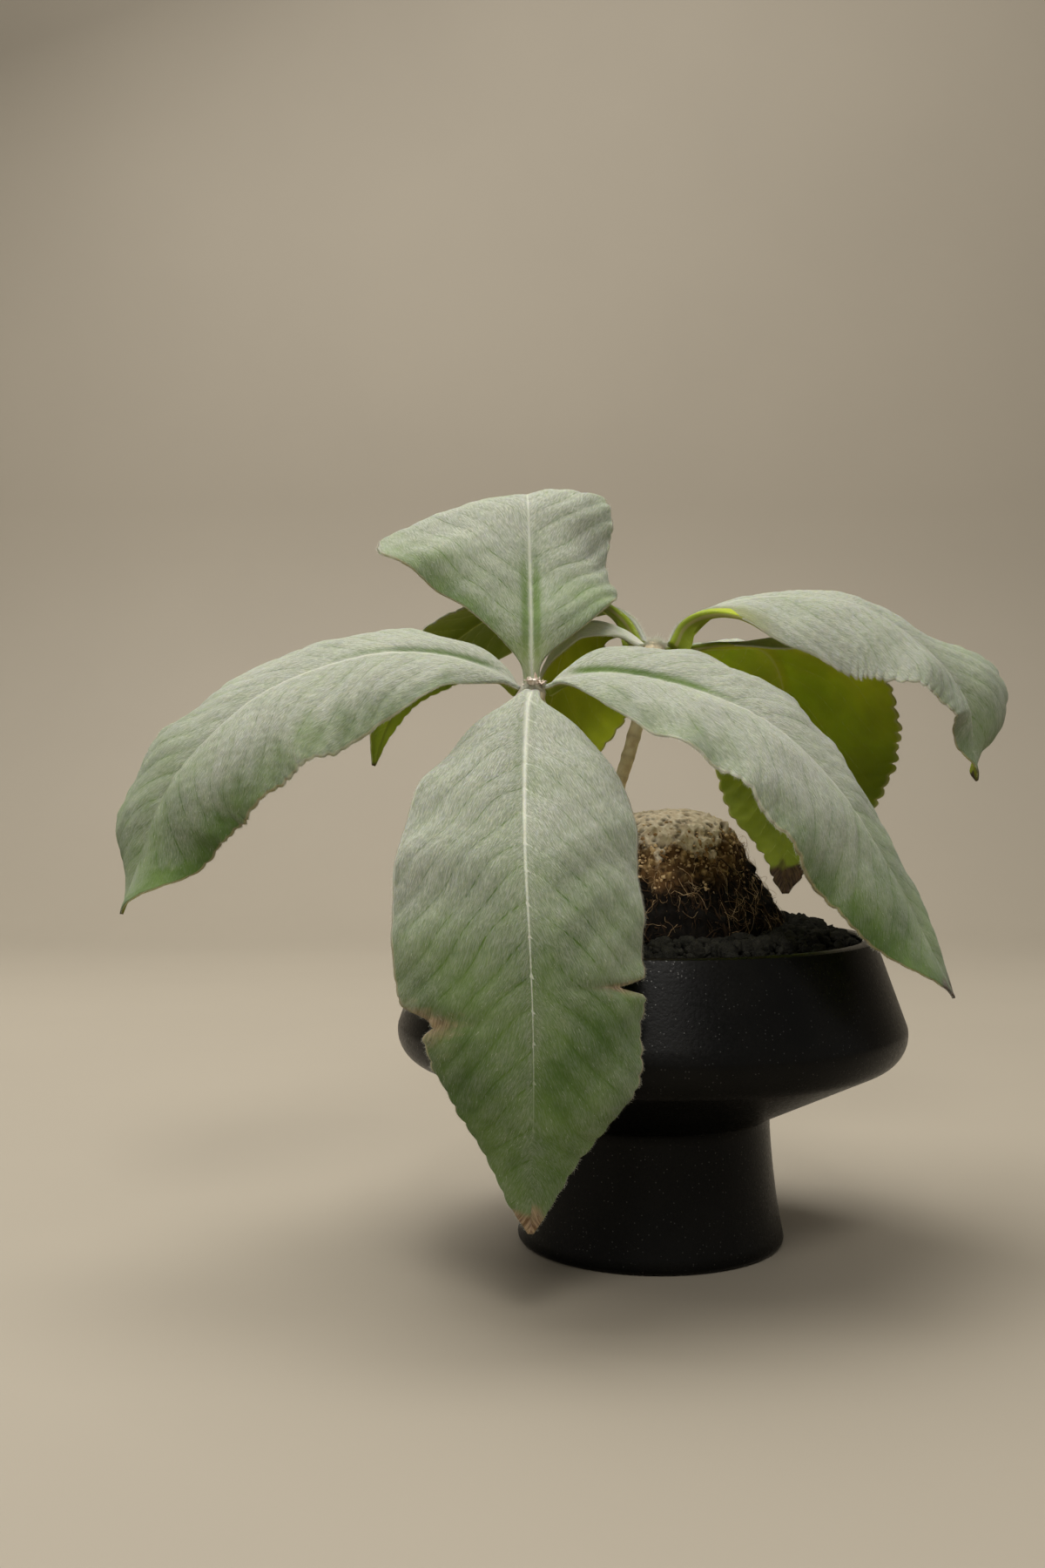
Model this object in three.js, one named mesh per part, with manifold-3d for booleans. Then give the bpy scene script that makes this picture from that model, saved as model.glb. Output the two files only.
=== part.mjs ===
// A young Brazilian edelweiss in a black footed bowl.
// Millimetres, +Z up. The origin is the centre of the foot's flat underside.
// The bowl is round about Z, and -Y is the front.

import * as THREE from 'three';
import { mergeVertices } from 'three/addons/utils/BufferGeometryUtils.js';
import Module from 'manifold-3d';

// Driving dimensions of the bowl
const rimRadius = 65.6;
const rimHeight = 90;
const shoulderRadius = 75;
const shoulderHeight = 63;
const shoulderRound = 10;
const neckRadius = 35.2;
const neckHeight = 37.6;
const footRadius = 39.4;
const footRound = 2;
const flareBelly = 1;
const wall = 4.6;
const floorThickness = 6;
const potSides = 48;

// Driving dimensions of the soil and the tuber
const contactGap = 0.3;
const soilEdgeHeight = 88;
const soilMound = 4.5;
const moundRadius = 50;
const frontMound = 0.8;
const soilRings = 13;
const wallGap = 0.5;
const gritHeight = 2.2;
const gritShuffle = 0.3;
const tuberCentre = new THREE.Vector3(-1, 0, 84);
const tuberRadius = 38.6;
const tuberTop = 42.5;
const tuberDepth = 33;
const tuberSquareness = 3.2;
const tuberTaper = 0.2;
const taperStart = 0.15;
const taperEnd = 0.65;
const tuberTilt = 0.12;
const tuberSides = 40;
const tuberRings = 22;

// Driving dimensions of the stems and the leaves
const stemRadius = 2;
const knobRadius = 3.3;
const stemSides = 10;
const stemSteps = 10;
const chipCount = 6;
const chipLength = 3.2;
const chipRadius = 0.9;
const chipLean = 0.35;
const chipSpread = 0.55;
const petioleThickness = 3.2;
const petioleEdge = 1.9;
const petioleEnd = 0.12;
const ribThickness = 1.6;
const ribFadeStart = 0.3;
const bladeThickness = 0.8;
const upperSkin = 0.35;
const crown = 0.1;
const toothPitch = 4.4;
const toothDepth = 0.9;
const toothStart = 0.4;
const toothLean = 0.6;
const plainPitch = 8;
const waveLength = 24;
const waveHeight = 0.9;
const fullWidth = 30;
const leastWidth = 0.5;
const lanes = [-1, -0.68, -0.34, 0, 0.34, 0.68, 1];

// Colours
const silverGreen = 0x8f9884;
const potBlack = 0x121311;
const soilBlack = 0x15130f;
const barkBrown = 0x6f5a3c;
const stemTan = 0x948363;

// The middle of each whorl of leaves, and where its stem leaves the tuber
const frontWhorl = new THREE.Vector3(-35, -25, 161.3);
const backWhorl = new THREE.Vector3(2.4, 8, 176.6);
const frontRoot = new THREE.Vector3(-12, -5, 121);
const backRoot = new THREE.Vector3(-13, 5, 122);
const frontBow = new THREE.Vector3(-3, 1, 2);
const backBow = new THREE.Vector3(1, 0, 0);

const wasm = await Module();
wasm.setup();

function seededRandom(seed) {
  let state = seed;
  return () => {
    state = (state * 1664525 + 1013904223) % 4294967296;
    return state / 4294967296;
  };
}

function smoothStep(edge0, edge1, x) {
  const t = THREE.MathUtils.clamp((x - edge0) / (edge1 - edge0), 0, 1);
  return t * t * (3 - 2 * t);
}

function plainGeometry(geometry) {
  const copy = geometry.index ? geometry.clone() : geometry;
  copy.deleteAttribute('normal');
  copy.deleteAttribute('uv');
  return mergeVertices(copy, 1e-4);
}

function toSolid(geometry) {
  const merged = plainGeometry(geometry);
  return new wasm.Manifold(new wasm.Mesh({
    numProp: 3,
    vertProperties: new Float32Array(merged.attributes.position.array),
    triVerts: new Uint32Array(merged.index.array),
  }));
}

function toGeometry(solid) {
  const mesh = solid.getMesh();
  const geometry = new THREE.BufferGeometry();
  geometry.setAttribute('position', new THREE.BufferAttribute(mesh.vertProperties, 3));
  geometry.setIndex(new THREE.BufferAttribute(mesh.triVerts, 1));
  return geometry;
}

function facesGeometry(points, triangles) {
  const geometry = new THREE.BufferGeometry();
  geometry.setAttribute('position', new THREE.Float32BufferAttribute(points.flat(), 3));
  geometry.setIndex(triangles.flat());
  return geometry;
}

function namedMesh(name, geometry, colour, roughness) {
  geometry.computeVertexNormals();
  const material = new THREE.MeshStandardMaterial({ color: colour, roughness, metalness: 0 });
  const mesh = new THREE.Mesh(geometry, material);
  mesh.name = name;
  return mesh;
}

// A lathe turns about Y, so its geometry is stood up on Z.
function turned(profile, sides) {
  const geometry = new THREE.LatheGeometry(profile, sides);
  geometry.rotateX(Math.PI / 2);
  return geometry;
}

// The bowl

// The shoulder's centre is found from the widest radius, and both slopes run on from its arc.
function outerProfile() {
  const points = [new THREE.Vector2(0, 0), new THREE.Vector2(footRadius - footRound, 0)];
  points.push(new THREE.Vector2(footRadius - footRound * 0.3, footRound * 0.3));
  points.push(new THREE.Vector2(footRadius, footRound));
  const flare = new THREE.QuadraticBezierCurve(
    new THREE.Vector2(footRadius, footRound),
    new THREE.Vector2(neckRadius + flareBelly, neckHeight * 0.45),
    new THREE.Vector2(neckRadius, neckHeight),
  );
  points.push(...flare.getPoints(5).slice(1));
  const centre = new THREE.Vector2(shoulderRadius - shoulderRound, shoulderHeight);
  for (const degrees of [-62, -40, -18, 0, 12]) {
    const angle = THREE.MathUtils.degToRad(degrees);
    points.push(new THREE.Vector2(
      centre.x + shoulderRound * Math.cos(angle),
      centre.y + shoulderRound * Math.sin(angle),
    ));
  }
  points.push(new THREE.Vector2(rimRadius + 0.5, rimHeight - 1));
  points.push(new THREE.Vector2(rimRadius - 0.4, rimHeight));
  return points;
}

function innerProfile() {
  const lip = rimRadius - wall + 1;
  return [
    new THREE.Vector2(lip + 0.6, rimHeight),
    new THREE.Vector2(lip, rimHeight - 1),
    new THREE.Vector2(shoulderRadius - wall - 0.6, shoulderHeight + 1),
    new THREE.Vector2(shoulderRadius - wall - 5.4, shoulderHeight - 7.5),
    new THREE.Vector2(neckRadius - wall, neckHeight + 4.4),
    new THREE.Vector2(neckRadius - wall, neckHeight),
    new THREE.Vector2(footRadius - wall - 2, floorThickness + 3),
    new THREE.Vector2(footRadius - wall - 5, floorThickness),
    new THREE.Vector2(0, floorThickness),
  ];
}

function potGeometry() {
  return turned([...outerProfile(), ...innerProfile()], potSides);
}

// Rings of points with one point at each end make a closed body.
function ringBody(bottom, rings, top) {
  const sides = rings[0].length;
  const points = [bottom, ...rings.flat(), top];
  const triangles = [];
  const last = points.length - 1;
  for (let side = 0; side < sides; side += 1) {
    const next = (side + 1) % sides;
    triangles.push([0, 1 + next, 1 + side]);
    triangles.push([last, last - sides + side, last - sides + next]);
    for (let ring = 0; ring < rings.length - 1; ring += 1) {
      const a = 1 + ring * sides + side;
      const b = 1 + ring * sides + next;
      triangles.push([a, b, b + sides]);
      triangles.push([a, b + sides, a + sides]);
    }
  }
  return facesGeometry(points, triangles);
}

// The tuber

// Broad swellings, smaller bumps between them, and root scars round the lower part.
function tuberRelief(azimuth, height) {
  const swelling = 1.2 * Math.sin(3 * azimuth + 0.6) * Math.cos(1.7 * height);
  const bumps = 0.8 * Math.sin(5 * azimuth + 2.1 + 1.5 * height);
  const scars = 0.6 * Math.sin(9 * azimuth + 6 * height) * Math.sin(11 * height + 2 * azimuth);
  return swelling + bumps + scars;
}

// A flattened ball that narrows towards its top, which tilts up to the right.
// Height runs from -1 at the bottom to 1 at the top.
function tuberPoint(azimuth, height, extra) {
  const reach = height > 0 ? tuberTop : tuberDepth;
  const level = Math.sin(height * Math.PI / 2);
  const full = tuberRadius * (1 - Math.abs(level) ** tuberSquareness) ** (1 / tuberSquareness);
  const radius = full * (1 - tuberTaper * smoothStep(taperStart, taperEnd, level));
  const calmAtPoles = 1 - Math.abs(level) ** 6;
  const across = radius + (tuberRelief(azimuth, height) + extra) * calmAtPoles;
  const x = across * Math.cos(azimuth);
  const tilt = tuberTilt * x * Math.max(level, 0);
  return [
    tuberCentre.x + x,
    tuberCentre.y + across * Math.sin(azimuth),
    tuberCentre.z + level * (reach + extra) + tilt,
  ];
}

function tuberBody(extra) {
  const rings = [];
  for (let ring = 1; ring < tuberRings; ring += 1) {
    const height = 2 * ring / tuberRings - 1;
    const azimuths = Array.from({ length: tuberSides }, (_, side) => side / tuberSides * 2 * Math.PI);
    rings.push(azimuths.map((azimuth) => tuberPoint(azimuth, height, extra)));
  }
  return ringBody(tuberPoint(0, -1, extra), rings, tuberPoint(0, 1, extra));
}

// The soil

// The surface is mounded round the tuber, more at the back than at the front.
function soilSurface(radius, azimuth) {
  const inner = smoothStep(rimRadius - wall, moundRadius, radius);
  const side = THREE.MathUtils.mapLinear(Math.sin(azimuth), -1, 1, frontMound, 1);
  return soilEdgeHeight + soilMound * inner * side;
}

// It fills the bowl with a thin gap. Grit stands up from its top by a seeded draw.
function soilBody() {
  const random = seededRandom(41);
  const spread = () => random() * 2 - 1;
  const inside = innerProfile().reverse().filter((point) => point.y < soilEdgeHeight - wallGap);
  const edge = new THREE.Vector2(rimRadius - wall + 1, soilEdgeHeight);
  const rings = [...inside.slice(1), edge].map(({ x, y }) => {
    const reach = x - wallGap;
    const level = x < neckRadius ? y + wallGap : y;
    return Array.from({ length: potSides }, (_, side) => {
      const azimuth = side / potSides * 2 * Math.PI;
      return [reach * Math.cos(azimuth), reach * Math.sin(azimuth), level];
    });
  });
  for (let ring = 1; ring < soilRings; ring += 1) {
    const radius = (edge.x - wallGap) * (1 - ring / soilRings);
    rings.push(Array.from({ length: potSides }, (_, side) => {
      const azimuth = (side + gritShuffle * spread()) / potSides * 2 * Math.PI;
      const reach = radius + spread();
      const level = soilSurface(radius, azimuth) + gritHeight * spread();
      return [reach * Math.cos(azimuth), reach * Math.sin(azimuth), level];
    }));
  }
  return ringBody([0, 0, floorThickness + wallGap], rings, [0, 0, soilEdgeHeight + soilMound]);
}

// The stems

function stemCurve(root, whorl, bow) {
  const middle = root.clone().lerp(whorl, 0.5).add(bow);
  return new THREE.CatmullRomCurve3([root, middle, whorl]);
}

function stemTube(curve, radius, steps) {
  const section = new THREE.Shape();
  for (let side = 0; side < stemSides; side += 1) {
    const angle = side / stemSides * 2 * Math.PI;
    const x = radius * Math.cos(angle);
    const y = radius * Math.sin(angle);
    if (side === 0) {
      section.moveTo(x, y);
    } else {
      section.lineTo(x, y);
    }
  }
  section.closePath();
  return new THREE.ExtrudeGeometry(section, { steps, extrudePath: curve });
}

function knob(centre) {
  const ball = new THREE.SphereGeometry(knobRadius, 12, 8);
  ball.scale(1, 1, 0.8);
  ball.translate(centre.x, centre.y, centre.z);
  return ball;
}

// Dried bracts left from an old flower: slim bent chips that lean out of the knob.
function driedTuft(centre) {
  const random = seededRandom(7);
  const chips = [];
  for (let index = 0; index < chipCount; index += 1) {
    const chip = new THREE.ConeGeometry(chipRadius, chipLength * (0.8 + 0.5 * random()), 4);
    chip.translate(0, chipLength / 2, 0);
    chip.rotateX(Math.PI / 2);
    chip.rotateY(chipLean + chipSpread * random());
    chip.rotateZ((index + 0.4 * random()) / chipCount * 2 * Math.PI);
    chip.translate(centre.x, centre.y, centre.z + knobRadius * 0.35);
    chips.push(toSolid(chip));
  }
  return chips;
}

function stemSolid(curve, whorl, tufted) {
  let solid = toSolid(stemTube(curve, stemRadius, stemSteps)).add(toSolid(knob(whorl)));
  if (tufted) {
    for (const chip of driedTuft(whorl)) {
      solid = solid.add(chip);
    }
  }
  return solid;
}

// The leaves

// A station gives the midrib's point x, y, z, then for the left and the right half its width and
// how many degrees it rises from level. Left and right are seen from the whorl, looking outwards.
// The heading is the leaf's compass direction in degrees from +X towards +Y.
const leaves = [
  {
    name: 'leaf_front',
    heading: -90,
    phase: 0.3,
    stations: [
      [-35.5, -29, 161, 2.5, 0, 2.5, 0],
      [-36.4, -34.5, 158, 4.5, -5, 5.5, -5],
      [-36.9, -41, 152.6, 13.5, -6, 12.5, -5],
      [-37.2, -48, 146, 19.8, -8, 19.2, -5],
      [-37.5, -60, 134.5, 27.6, -8, 28, -4],
      [-37.3, -77, 117, 31, -20, 34, -12],
      [-36.3, -87, 98, 31, -22, 35, -14],
      [-35.5, -91, 78, 29, -22, 32, -12],
      [-35.3, -91, 58, 25, -18, 21, -15],
      [-35.7, -88, 41, 10.5, -20, 10.5, -20],
      [-36, -84, 25, 0.8, 0, 0.8, 0],
    ],
    notches: [
      { right: true, at: 0.668, depth: 8, spread: 0.022 },
      { right: true, at: 0.71, depth: 2.6, spread: 0.03 },
      { right: false, at: 0.621, depth: 5.5, spread: 0.014 },
    ],
  },
  {
    name: 'leaf_left',
    heading: 180,
    phase: 1.2,
    stations: [
      [-39, -25, 162, 2.5, 0, 2.5, 0],
      [-45, -26, 166, 6, -25, 6, 35],
      [-62, -28, 171, 21, -32, 18, 22],
      [-83, -29, 170.5, 31, -46, 29, 17],
      [-110, -30, 160.5, 34, -47, 33, 18],
      [-130, -31, 143, 31, -53, 30, 28],
      [-139, -32, 129, 26, -62, 25, 34],
      [-144, -33, 114, 17, -62, 15.5, 34],
      [-149, -34, 99, 0.8, 0, 0.8, 0],
    ],
  },
  {
    name: 'leaf_right',
    heading: -15,
    phase: 2.2,
    stations: [
      [-31, -25.5, 162.3, 2.5, 0, 2.5, 0],
      [-25.5, -28, 164.7, 5, 40, 5, -20],
      [-11, -31, 165.5, 20, 26, 22, -26],
      [9, -35, 161, 30, 20, 31, -27],
      [30, -40, 151, 32, 13, 34, -27],
      [47, -44, 134, 29, 5, 34, -28],
      [60, -47, 113, 23, 2, 28, -36],
      [70, -49, 93, 15.5, 5, 16, -32],
      [77, -50, 78, 0.8, 0, 0.8, 0],
    ],
  },
  {
    name: 'leaf_back',
    heading: 90,
    phase: 0.9,
    stations: [
      [-35.2, -21, 162.6, 2.5, 0, 2.5, 0],
      [-35.5, -17.5, 171, 4, 0, 4, 0],
      [-35.5, -10, 183, 15, 0, 18, 0],
      [-35.8, 0, 196.5, 32, 0, 28, -20],
      [-36, 9, 209.5, 46, -7, 26.5, -27],
      [-36.3, 18, 221.5, 47.5, -17, 27.5, -17],
      [-36.5, 30, 226.5, 44, -25, 24.5, -5],
      [-36, 47, 222, 38, -18, 24, -5],
      [-35, 63, 211, 30, -10, 22, -10],
      [-34, 76, 198, 16, 0, 15, 0],
      [-33, 84, 188, 0.8, 0, 0.8, 0],
    ],
  },
  {
    name: 'leaf_rear_right',
    heading: 5,
    phase: 2.8,
    petiole: { thickness: 7, edge: 4.6, end: 0.2 },
    stations: [
      [6.4, 8.4, 177.5, 2.8, 0, 2.8, 0],
      [11.5, 10, 184.6, 4.2, -10, 4.2, 0],
      [27, 14, 191, 20, -8, 20, -34],
      [47, 18, 193, 30, -1, 30, -46],
      [69, 22, 190, 34, 7, 32, -48],
      [89, 25, 177, 31, 17, 28, -34],
      [101.5, 26, 160, 27, 42, 21, -32],
      [103.5, 25, 146, 17, 22, 11, -40],
      [104.5, 24, 136, 0.8, 0, 0.8, 0],
    ],
  },
  {
    name: 'leaf_rear_hanging',
    heading: 50,
    phase: 0,
    petiole: { thickness: 5.4, edge: 3.4, end: 0.15 },
    toothDepth: 2.2,
    stations: [
      [3.9, 12.2, 176.4, 2.6, 0, 2.6, 0],
      [11, 17.5, 177, 3.8, 0, 3.8, 0],
      [27, 31, 179, 16, -4, 16, -5],
      [42, 46, 179, 28, 0, 30, -8],
      [50, 58, 167, 32, 4, 36, 4],
      [51, 62, 147, 30, 0, 36, 20],
      [51, 61, 128, 22, 2, 29, 18],
      [50.5, 58, 112, 10, 8, 13, 12],
      [49.6, 56, 102.5, 5.6, 4, 4.8, 4],
      [49, 55, 98, 2.6, 0, 2.6, 0],
    ],
  },
  {
    name: 'leaf_rear_left',
    heading: 145,
    phase: 1.7,
    petiole: { thickness: 7, edge: 4.6, end: 0.2 },
    stations: [
      [-0.4, 11.2, 178, 2.8, 0, 2.8, 0],
      [-5.5, 19, 186.6, 4.2, 10, 4.2, 0],
      [-18, 30, 192.5, 17, 15, 15, -10],
      [-35, 42, 195, 20, 5, 26, -10],
      [-51, 50, 189.5, 19, -5, 28, -10],
      [-66, 51, 178, 18, -5, 20, -5],
      [-78, 50, 164, 13, 0, 9, 0],
      [-84, 49, 152, 6.5, 0, 4, 0],
      [-87, 48, 141, 0.8, 0, 0.8, 0],
    ],
  },
  {
    name: 'leaf_rear_middle',
    heading: 150,
    phase: 2.4,
    stations: [
      [-2, 5.6, 176.8, 2.6, 0, 2.6, 0],
      [-8, 7.5, 182, 5, -30, 5, -25],
      [-18, 12, 184.5, 13, -32, 13, -45],
      [-26, 17, 176.5, 17, -26, 22, -50],
      [-30, 21, 160, 19, -8, 27, -38],
      [-34, 22, 141, 17, 10, 16, -25],
      [-42, 19, 123, 9, 0, 9, 0],
      [-46, 16, 107, 0.8, 0, 0.8, 0],
    ],
  },
];

function leafCurves(leaf) {
  const curveOf = (pick) => new THREE.CatmullRomCurve3(
    leaf.stations.map((station) => new THREE.Vector3(...pick(station))),
    false,
    'catmullrom',
    0.5,
  );
  return {
    rib: curveOf(([x, y, z]) => [x, y, z]),
    left: curveOf((station) => [station[3], station[4], 0]),
    right: curveOf((station) => [station[5], station[6], 0]),
  };
}

// At a share of the midrib's length, across runs from -1 at the left margin to 1 at the right.
function leafPoint(leaf, curves, share, across, jag) {
  const along = curves.rib.getUtoTmapping(share);
  const origin = curves.rib.getPoint(along);
  const forward = curves.rib.getTangent(along);
  const heading = THREE.MathUtils.degToRad(leaf.heading);
  const leftward = new THREE.Vector3(-Math.sin(heading), Math.cos(heading), 0);
  leftward.addScaledVector(forward, -leftward.dot(forward)).normalize();
  const upward = new THREE.Vector3().crossVectors(forward, leftward);
  const onRight = across > 0;
  const half = (onRight ? curves.right : curves.left).getPoint(along);
  const rise = THREE.MathUtils.degToRad(half.y);
  const outward = leftward.clone().multiplyScalar(onRight ? -Math.cos(rise) : Math.cos(rise));
  outward.addScaledVector(upward, Math.sin(rise));
  const facing = upward.clone().multiplyScalar(Math.cos(rise));
  facing.addScaledVector(leftward, onRight ? Math.sin(rise) : -Math.sin(rise));
  const reach = Math.abs(across);
  let width = Math.max(half.x, leastWidth);
  for (const notch of leaf.notches ?? []) {
    if (notch.right === onRight) {
      const offset = (share - notch.at) / notch.spread;
      width -= notch.depth * Math.exp(-offset * offset);
    }
  }
  const fullness = Math.min(width / fullWidth, 1);
  const distance = reach * width + jag;
  const bulge = crown * 4 * reach * (1 - reach) * width;
  const turns = share * curves.length / waveLength + (onRight ? 0.5 : 0);
  const wave = waveHeight * fullness * reach ** 3 * Math.sin(2 * Math.PI * turns + leaf.phase * 2);
  return origin.addScaledVector(outward, distance).addScaledVector(facing, bulge + wave);
}

function leafNormal(leaf, curves, share, across) {
  const step = 0.004;
  const side = across === 0 ? 0.02 : 0;
  const ahead = leafPoint(leaf, curves, Math.min(share + step, 1), across, 0);
  const behind = leafPoint(leaf, curves, Math.max(share - step, 0), across, 0);
  const leftwards = leafPoint(leaf, curves, share, Math.max(across - 0.02, -1) - side, 0);
  const rightwards = leafPoint(leaf, curves, share, Math.min(across + 0.02, 1) + side, 0);
  return rightwards.sub(leftwards).cross(ahead.sub(behind)).normalize();
}

// Each row runs from margin to margin. Between two rows a tooth stands out of each margin.
function leafGeometry(leaf) {
  const curves = leafCurves(leaf);
  curves.length = curves.rib.getLength();
  const plainEnd = toothStart * curves.length;
  const plainRows = Math.ceil(plainEnd / plainPitch);
  const toothRows = Math.round((curves.length - plainEnd) / toothPitch);
  const shares = [];
  for (let row = 0; row < plainRows; row += 1) {
    shares.push(toothStart * row / plainRows);
  }
  for (let row = 0; row <= toothRows; row += 1) {
    shares.push(toothStart + (1 - toothStart) * row / toothRows);
  }
  const upper = [];
  const lower = [];
  const usual = { thickness: petioleThickness, edge: petioleEdge, end: petioleEnd };
  const stalk = leaf.petiole ?? usual;
  const addPoint = (share, across, jag) => {
    const stem = 1 - smoothStep(0, stalk.end, share);
    const fade = smoothStep(ribFadeStart, 1, share);
    const rib = THREE.MathUtils.lerp(ribThickness, bladeThickness, fade);
    const middle = THREE.MathUtils.lerp(rib, stalk.thickness, stem);
    const edge = THREE.MathUtils.lerp(bladeThickness, stalk.edge, stem);
    const blend = Math.min(Math.abs(across) * 2, 1);
    const thickness = THREE.MathUtils.lerp(middle, edge, blend);
    const point = leafPoint(leaf, curves, share, across, jag);
    const normal = leafNormal(leaf, curves, share, across);
    upper.push(point.clone().addScaledVector(normal, upperSkin).toArray());
    lower.push(point.clone().addScaledVector(normal, upperSkin - thickness).toArray());
    return upper.length - 1;
  };
  const rows = shares.map((share) => lanes.map((across) => addPoint(share, across, 0)));
  const face = [];
  const leftRim = [rows[0][0]];
  const rightRim = [rows[0][6]];
  for (let row = 0; row < rows.length - 1; row += 1) {
    const near = rows[row];
    const far = rows[row + 1];
    for (let lane = 1; lane < 5; lane += 1) {
      face.push([near[lane], near[lane + 1], far[lane + 1]]);
      face.push([near[lane], far[lane + 1], far[lane]]);
    }
    const toothed = shares[row] >= toothStart - 0.001 && row < rows.length - 2;
    const jag = toothed ? leaf.toothDepth ?? toothDepth : 0;
    const lean = toothed ? toothLean : 0.5;
    const tipShare = THREE.MathUtils.lerp(shares[row], shares[row + 1], lean);
    const leftTip = addPoint(tipShare, -1, jag);
    const rightTip = addPoint(tipShare, 1, jag);
    face.push([near[0], near[1], leftTip], [near[1], far[1], leftTip], [far[1], far[0], leftTip]);
    face.push([near[5], near[6], rightTip], [near[5], rightTip, far[5]]);
    face.push([far[5], rightTip, far[6]]);
    leftRim.push(leftTip, far[0]);
    rightRim.push(rightTip, far[6]);
  }
  const firstRow = rows[0];
  const lastRow = rows[rows.length - 1];
  const rim = [...leftRim.reverse(), ...firstRow.slice(1, -1), ...rightRim];
  rim.push(...lastRow.slice(1, -1).reverse());
  const count = upper.length;
  const triangles = [...face];
  for (const [a, b, c] of face) {
    triangles.push([a + count, c + count, b + count]);
  }
  for (let index = 0; index < rim.length; index += 1) {
    const a = rim[index];
    const b = rim[(index + 1) % rim.length];
    triangles.push([a, a + count, b + count], [a, b + count, b]);
  }
  return facesGeometry([...upper, ...lower], triangles);
}

// Assembly

const frontCurve = stemCurve(frontRoot, frontWhorl, frontBow);
const backCurve = stemCurve(backRoot, backWhorl, backBow);
const seatRadius = stemRadius + contactGap;
let tuberSolid = toSolid(tuberBody(0));
for (const [curve, root] of [[frontCurve, frontRoot], [backCurve, backRoot]]) {
  const foot = new THREE.SphereGeometry(seatRadius + contactGap, 12, 8);
  foot.translate(root.x, root.y, root.z);
  tuberSolid = tuberSolid.subtract(toSolid(stemTube(curve, seatRadius, stemSteps)));
  tuberSolid = tuberSolid.subtract(toSolid(foot));
}
const soilSolid = toSolid(soilBody()).subtract(toSolid(tuberBody(contactGap * 1.5)));

const plant = new THREE.Group();
plant.add(namedMesh('pot', potGeometry(), potBlack, 0.55));
plant.add(namedMesh('soil', toGeometry(soilSolid), soilBlack, 1));
plant.add(namedMesh('tuber', toGeometry(tuberSolid), barkBrown, 0.95));
plant.add(namedMesh('stem_front', toGeometry(stemSolid(frontCurve, frontWhorl, true)), stemTan, 0.9));
plant.add(namedMesh('stem_back', toGeometry(stemSolid(backCurve, backWhorl, false)), stemTan, 0.9));
for (const leaf of leaves) {
  plant.add(namedMesh(leaf.name, leafGeometry(leaf), silverGreen, 0.9));
}

export default plant;
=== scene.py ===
import math

import bmesh
import bpy
import numpy as np
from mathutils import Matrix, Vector


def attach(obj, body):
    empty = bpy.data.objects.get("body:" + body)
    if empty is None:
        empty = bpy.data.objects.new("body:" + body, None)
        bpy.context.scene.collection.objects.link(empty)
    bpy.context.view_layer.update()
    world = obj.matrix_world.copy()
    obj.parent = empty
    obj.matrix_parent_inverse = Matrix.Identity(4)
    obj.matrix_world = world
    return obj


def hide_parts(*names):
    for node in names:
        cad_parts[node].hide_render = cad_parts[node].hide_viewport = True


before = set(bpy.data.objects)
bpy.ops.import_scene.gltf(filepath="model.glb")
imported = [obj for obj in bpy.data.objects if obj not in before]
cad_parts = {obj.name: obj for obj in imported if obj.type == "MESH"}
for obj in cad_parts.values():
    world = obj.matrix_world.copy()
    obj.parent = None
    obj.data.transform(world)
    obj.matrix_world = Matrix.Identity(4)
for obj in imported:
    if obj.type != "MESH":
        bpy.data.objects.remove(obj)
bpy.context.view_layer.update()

mm = 0.001


# Small tools


def deselectAll():
    bpy.ops.object.select_all(action="DESELECT")


def pick(*pieces):
    deselectAll()
    for piece in pieces:
        piece.select_set(True)
    bpy.context.view_layer.objects.active = pieces[0]


def newPiece(name, data):
    piece = bpy.data.objects.new(name, data)
    bpy.context.scene.collection.objects.link(piece)
    return piece


def meshPiece(name, points, faces):
    mesh = bpy.data.meshes.new(name)
    mesh.from_pydata(points.tolist(), [], faces)
    return newPiece(name, mesh)


# In edit mode: points that meet are merged, open ends filled and the faces turned outwards.
def closeUp():
    bpy.ops.mesh.select_all(action="SELECT")
    bpy.ops.mesh.remove_doubles(threshold=0.01 * mm)
    bpy.ops.mesh.select_all(action="DESELECT")
    bpy.ops.mesh.select_non_manifold()
    bpy.ops.mesh.edge_face_add()
    bpy.ops.mesh.select_all(action="SELECT")
    bpy.ops.mesh.normals_make_consistent(inside=False)


def smooth(low, high, x):
    t = np.clip((x - low) / (high - low), 0, 1)
    return t * t * (3 - 2 * t)


# A gentle unevenness: a few sine waves that cross each other, between about -1 and 1.
def ripple(seed, size, *axes):
    draw = np.random.default_rng(seed)
    total = 0
    for octave in range(5):
        wave = 2 * math.pi / (size * draw.uniform(0.6, 1.5))
        heading = draw.normal(size=len(axes))
        heading /= np.linalg.norm(heading)
        push = sum(part * axis for part, axis in zip(heading, axes))
        total = total + np.sin(wave * push + draw.uniform(0, 2 * math.pi))
    return total / 3


def unit(vectors):
    return vectors / np.maximum(np.linalg.norm(vectors, axis=-1, keepdims=True), 1e-9)


# An even spline through the points, run on straight past both ends.
def splinePoint(points, knot):
    held = np.vstack([2 * points[0] - points[1], points, 2 * points[-1] - points[-2]])
    start = np.clip(knot.astype(int), 0, len(points) - 2)
    f = (knot - start)[:, None]
    a, b, c, d = held[start], held[start + 1], held[start + 2], held[start + 3]
    return 0.5 * (2 * b + (c - a) * f + (2 * a - 5 * b + 4 * c - d) * f**2
                  + (3 * b - a - 3 * c + d) * f**3)


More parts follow.
